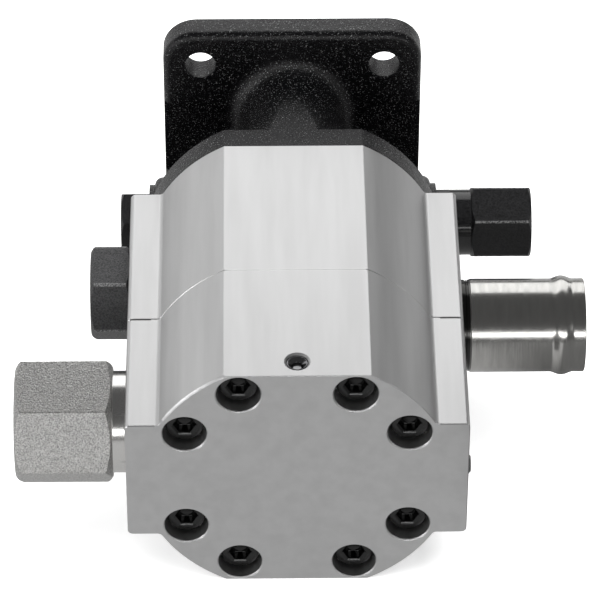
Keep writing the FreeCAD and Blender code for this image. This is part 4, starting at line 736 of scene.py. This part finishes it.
class PUMP_OT_finishes(bpy.types.Operator):
    """Give every solid the finish of its slot in the record"""

    bl_idname = "pump.finishes"
    bl_label = "Finishes"

    def execute(self, context):
        finish = finishes()
        slots = {row["node"]: row["material_slot"] for row in frame["record"]["subparts"]}
        for name, solid in frame["nodes"].items():
            solid.material_slots[0].material = finish[slots[name]]
        return {"FINISHED"}


class PUMP_OT_outlet(bpy.types.Operator):
    """Forge the outlet adapter with its hexagon and cut its taper thread"""

    bl_idname = "pump.outlet"
    bl_label = "Outlet adapter"

    def execute(self, context):
        settings = context.scene.pump_pieces
        soft = settings.edge_round
        across, tilt, bite, thread_start = 30.0, 9.5, 0.96, -57.2
        # Radii
        neck, stem, drill, mouth_radius = 13.5, 10.4, 6.0, 10.9
        mouth, stem_end = span("outlet_adapter")
        shoulder, seat = OUTLET_SHOULDER, -PORT_FACE
        angles = ring_angles(tilt)
        grid = grid_about_x([
            hex_bar(mouth, shoulder, across, tilt, (bite, bite), angles, settings.hex_corner),
            lathe([(shoulder, neck + 0.5), (shoulder, neck), (seat, neck), (seat, stem), (stem_end, stem),
                   (stem_end, drill), (thread_start + 1.8, drill), (thread_start + 0.3, 9.2)], soft, angles),
            self.thread(thread_start, mouth, mouth_radius, angles, settings),
            lathe([(mouth, mouth_radius), (mouth, 14.2)], soft, angles),
        ], angles, OUTLET_AXIS)
        piece = surface("outlet_adapter_forged", grid, looped=True)
        stand_in(piece, "outlet_adapter", finishes()["zinc_plated_steel"])
        return {"FINISHED"}

    def thread(self, start, mouth, mouth_radius, angles, settings):
        """Rings of an internal taper thread, from its inner end at start out to the mouth.

        The radius is a cone plus a triangle wave of station over pitch plus angle over a full turn.
        The wave fades in over the first turn, and a 45 degree chamfer opens the mouth.
        """
        start_radius, taper, rings = 9.35, 1 / 32, 150
        station = np.linspace(start, mouth + 0.1, rings)[:, None] * MM
        along = start * MM - station
        turn = (station / settings.thread_pitch + angles[None, :] / (2 * np.pi)) % 1
        wave = np.abs(2 * turn - 1) - 0.5
        fade = np.clip(along / settings.thread_pitch, 0, 1)
        reach = start_radius * MM + along * taper + settings.thread_height * 0.5 * wave * fade
        chamfer = mouth_radius * MM - (station - mouth * MM)
        return station * np.ones_like(turn), np.maximum(reach, chamfer)


class PUMP_OT_valve_caps(bpy.types.Operator):
    """Forge the check valve's cap, the unloading valve's cap and its plug"""

    bl_idname = "pump.valve_caps"
    bl_label = "Valve caps"

    def execute(self, context):
        oxide = finishes()["black_oxide_steel"]
        phosphate = bpy.data.materials["black phosphated steel"]
        # A stem is (station, radius) in mm, from the hexagon's inner end to the axis
        seat, end = -PORT_FACE, span("check_valve_cap")[1]
        self.forge("check_valve_cap", CHECK_AXIS, phosphate, across=23.6, tilt=9.5, flat=11.3,
                   stem=[(seat, 11.0), (seat, 9.0), (end, 9.0), (end, 4.7), (-51.0, 4.7), (-51.0, 0)])
        seat, end = CAP_SHOULDER, span("unloader_cap")[0]
        self.forge("unloader_cap", UNLOADER_AXIS, oxide, across=19.3, tilt=20.5, flat=9.2,
                   stem=[(seat, 9.4), (seat, 9.25), (40.2, 9.25), (40.2, 8.0), (end, 8.0), (end, 5.0),
                         (50.8, 5.0), (50.8, 0)])
        seat, end = -40.2, span("unloader_plug")[1]
        self.forge("unloader_plug", UNLOADER_AXIS, oxide, across=17.0, tilt=20.5, flat=8.1,
                   stem=[(seat, 8.2), (seat, 7.0), (end, 7.0), (end, 0)])
        return {"FINISHED"}

    def forge(self, node, axis, finish, across, tilt, flat, stem):
        """A hexagon of a width across flats, chamfered down to its tip's flat face, on its stem."""
        settings = bpy.context.scene.pump_pieces
        soft, tip_bite, seat_bite = settings.edge_round, 0.97, 0.985
        tip = max(span(node), key=abs)
        angles = ring_angles(tilt)
        grid = grid_about_x([
            lathe([(tip, 0), (tip, flat)], soft, angles),
            hex_bar(tip, stem[0][0], across, tilt, (tip_bite, seat_bite), angles, settings.hex_corner),
            lathe(stem, soft, angles),
        ], angles, axis)
        stand_in(surface(node + "_forged", grid), node, finish)


class PUMP_OT_inlet(bpy.types.Operator):
    """Roll the hose tube's bead"""

    bl_idname = "pump.inlet"
    bl_label = "Inlet tube"

    def execute(self, context):
        soft = context.scene.pump_pieces.edge_round
        angles = np.linspace(0, 2 * np.pi, 192, endpoint=False)
        inner_end, mouth = span("inlet_tube")
        # Radii
        radius, bore, groove = 12.7, 10.8, 11.3
        tail = lathe([(mouth, 11.5), (mouth, bore), (inner_end, bore), (inner_end, 11.9), (45.3, 11.9),
                      (45.4, groove), (46.0, groove), (46.1, 12.1), (46.5, 12.1), (46.6, groove),
                      (47.2, groove), (TUBE_ROOT, 12.45), (47.55, radius), (50.0, radius)], soft, angles)
        # The bead is a power of a raised cosine, which is fuller than the cosine itself
        bead_centre, bead_half, bead_height, fullness = 72.35, 3.0, 0.82, 0.7
        station = np.linspace(69.0, 75.6, 60)[:, None]
        phase = np.clip((station - bead_centre) / bead_half, -1, 1)
        reach = radius + bead_height * (0.5 + 0.5 * np.cos(np.pi * phase)) ** fullness
        bead = (station * MM * np.ones_like(angles), reach * MM * np.ones_like(angles))
        tip = lathe([(76.0, radius), (mouth, radius), (mouth, 12.0)], 0.5 * MM, angles)
        piece = surface("inlet_tube_rolled", grid_about_x([tail, bead, tip], angles, INLET_AXIS), looped=True)
        stand_in(piece, "inlet_tube", finishes()["plated_steel_tube"])
        return {"FINISHED"}


class PUMP_OT_gallery_plug(bpy.types.Operator):
    """Turn the plug with its bright cup in the top flat"""

    bl_idname = "pump.gallery_plug"
    bl_label = "Gallery plug"

    def execute(self, context):
        angles = np.linspace(0, 2 * np.pi, 96, endpoint=False)
        base, top = span("top_gallery_plug", 2)
        centre_y = sum(span("top_gallery_plug", 1)) / 2 * MM
        outside, rim = 2.9, top - 0.2
        profile = lathe([(base, 0), (base, outside), (rim, outside), (top, 2.5), (top - 1.0, 1.4),
                         (top - 1.7, 1.1), (top - 1.7, 0)], 0.15 * MM, angles)
        # The rings run along Y, so Y and Z change places
        grid = grid_about_y([profile], angles, (0.0, centre_y))[..., [0, 2, 1]]
        piece = surface("top_gallery_plug_turned", grid)
        stand_in(piece, "top_gallery_plug", bpy.data.materials["oiled dark steel"])
        return {"FINISHED"}


class PUMP_OT_springs(bpy.types.Operator):
    """Copy both valve springs in place of their solids"""

    bl_idname = "pump.springs"
    bl_label = "Valve springs"

    def execute(self, context):
        for node, body, axis, fixed in (("check_valve_spring", "check_poppet", CHECK_AXIS, 0),
                                        ("unloader_spring", "unloader", UNLOADER_AXIS, 1)):
            piece = bpy.data.objects.new(node + "_wound", frame["nodes"][node].data.copy())
            context.scene.collection.objects.link(piece)
            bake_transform(piece)
            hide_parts(node)
        return {"FINISHED"}


class PUMP_OT_screws(bpy.types.Operator):
    """Turn the eight socket-head screws in the rear face"""

    bl_idname = "pump.screws"
    bl_label = "Housing screws"

    def execute(self, context):
        face, tip = span("housing_screws", 1)
        across, socket_depth, head_height = 5.0, 3.0, 6.0
        # Radii
        collar, head, shank, thread_end = 3.6, 5.0, 3.0, 2.2
        angles = ring_angles(0.0, 24)
        bottom = face + socket_depth
        floor = lathe([(bottom + 0.7, 0), (bottom + 0.05, 1.9), (bottom, 2.2)], 0.1 * MM, angles)
        # The socket's walls flare out at the face, and close rings keep the edge crisp
        socket = hex_radius(angles, across * MM, 0.0, 0.15 * MM)[None, :]
        depth = np.array([socket_depth, 0.36, 0.33, 0.03, 0.0])[:, None]
        flare = np.array([0.0, 0.0, 0.03, 0.55, 0.62])[:, None]
        ones = np.ones_like(socket)
        walls = ((face + depth) * MM * ones, socket + flare * MM)
        ring = (face * MM * ones, collar * MM * ones)
        outside = lathe([(face, collar + 0.1), (face, head), (face + head_height, head),
                         (face + head_height, shank), (tip - 1.0, shank), (tip, thread_end), (tip, 0)],
                        0.55 * MM, angles)
        grid = grid_about_y([floor, walls, ring, outside], angles, (0.0, BODY_CENTRE_Z))
        circle = 33.45 * MM
        turns = np.radians((29.25, 63.1))
        places = [(side * circle * math.cos(turn), 0.0, up * circle * math.sin(turn))
                  for turn in turns for side in (1, -1) for up in (1, -1)]
        piece = surface("housing_screws_turned", grid, copies=places)
        stand_in(piece, "housing_screws", bpy.data.materials["oiled black screw"])
        return {"FINISHED"}


class PUMP_PT_panel(bpy.types.Panel):
    """Sidebar panel that lists the pump's pieces"""

    bl_label = "Gear pump"
    bl_idname = "PUMP_PT_panel"
    bl_space_type = "VIEW_3D"
    bl_region_type = "UI"
    bl_category = "Gear pump"

    def draw(self, context):
        layout = self.layout
        for kind in STEPS:
            layout.operator(kind.bl_idname)
        for group in (context.scene.pump_finish, context.scene.pump_pieces, context.scene.pump_studio):
            box = layout.box()
            for name in group.__annotations__:
                box.prop(group, name)


GROUPS = {"pump_studio": PumpStudioSettings, "pump_finish": PumpFinishSettings,
          "pump_pieces": PumpPieceSettings}
STEPS = (PUMP_OT_studio, PUMP_OT_finishes, PUMP_OT_outlet, PUMP_OT_valve_caps, PUMP_OT_inlet,
         PUMP_OT_gallery_plug, PUMP_OT_springs, PUMP_OT_screws)


def register():
    for kind in (*GROUPS.values(), *STEPS, PUMP_PT_panel):
        bpy.utils.register_class(kind)
    for name, kind in GROUPS.items():
        setattr(bpy.types.Scene, name, PointerProperty(type=kind))


def unregister():
    for name in GROUPS:
        delattr(bpy.types.Scene, name)
    for kind in reversed((*GROUPS.values(), *STEPS, PUMP_PT_panel)):
        bpy.utils.unregister_class(kind)


def main():
    """Build the pump's looks."""
    register()
    bpy.ops.pump.studio()
    bpy.ops.pump.finishes()
    bpy.ops.pump.outlet()
    bpy.ops.pump.valve_caps()
    bpy.ops.pump.inlet()
    bpy.ops.pump.gallery_plug()
    bpy.ops.pump.springs()
    bpy.ops.pump.screws()


if __name__ == "__main__":
    main()
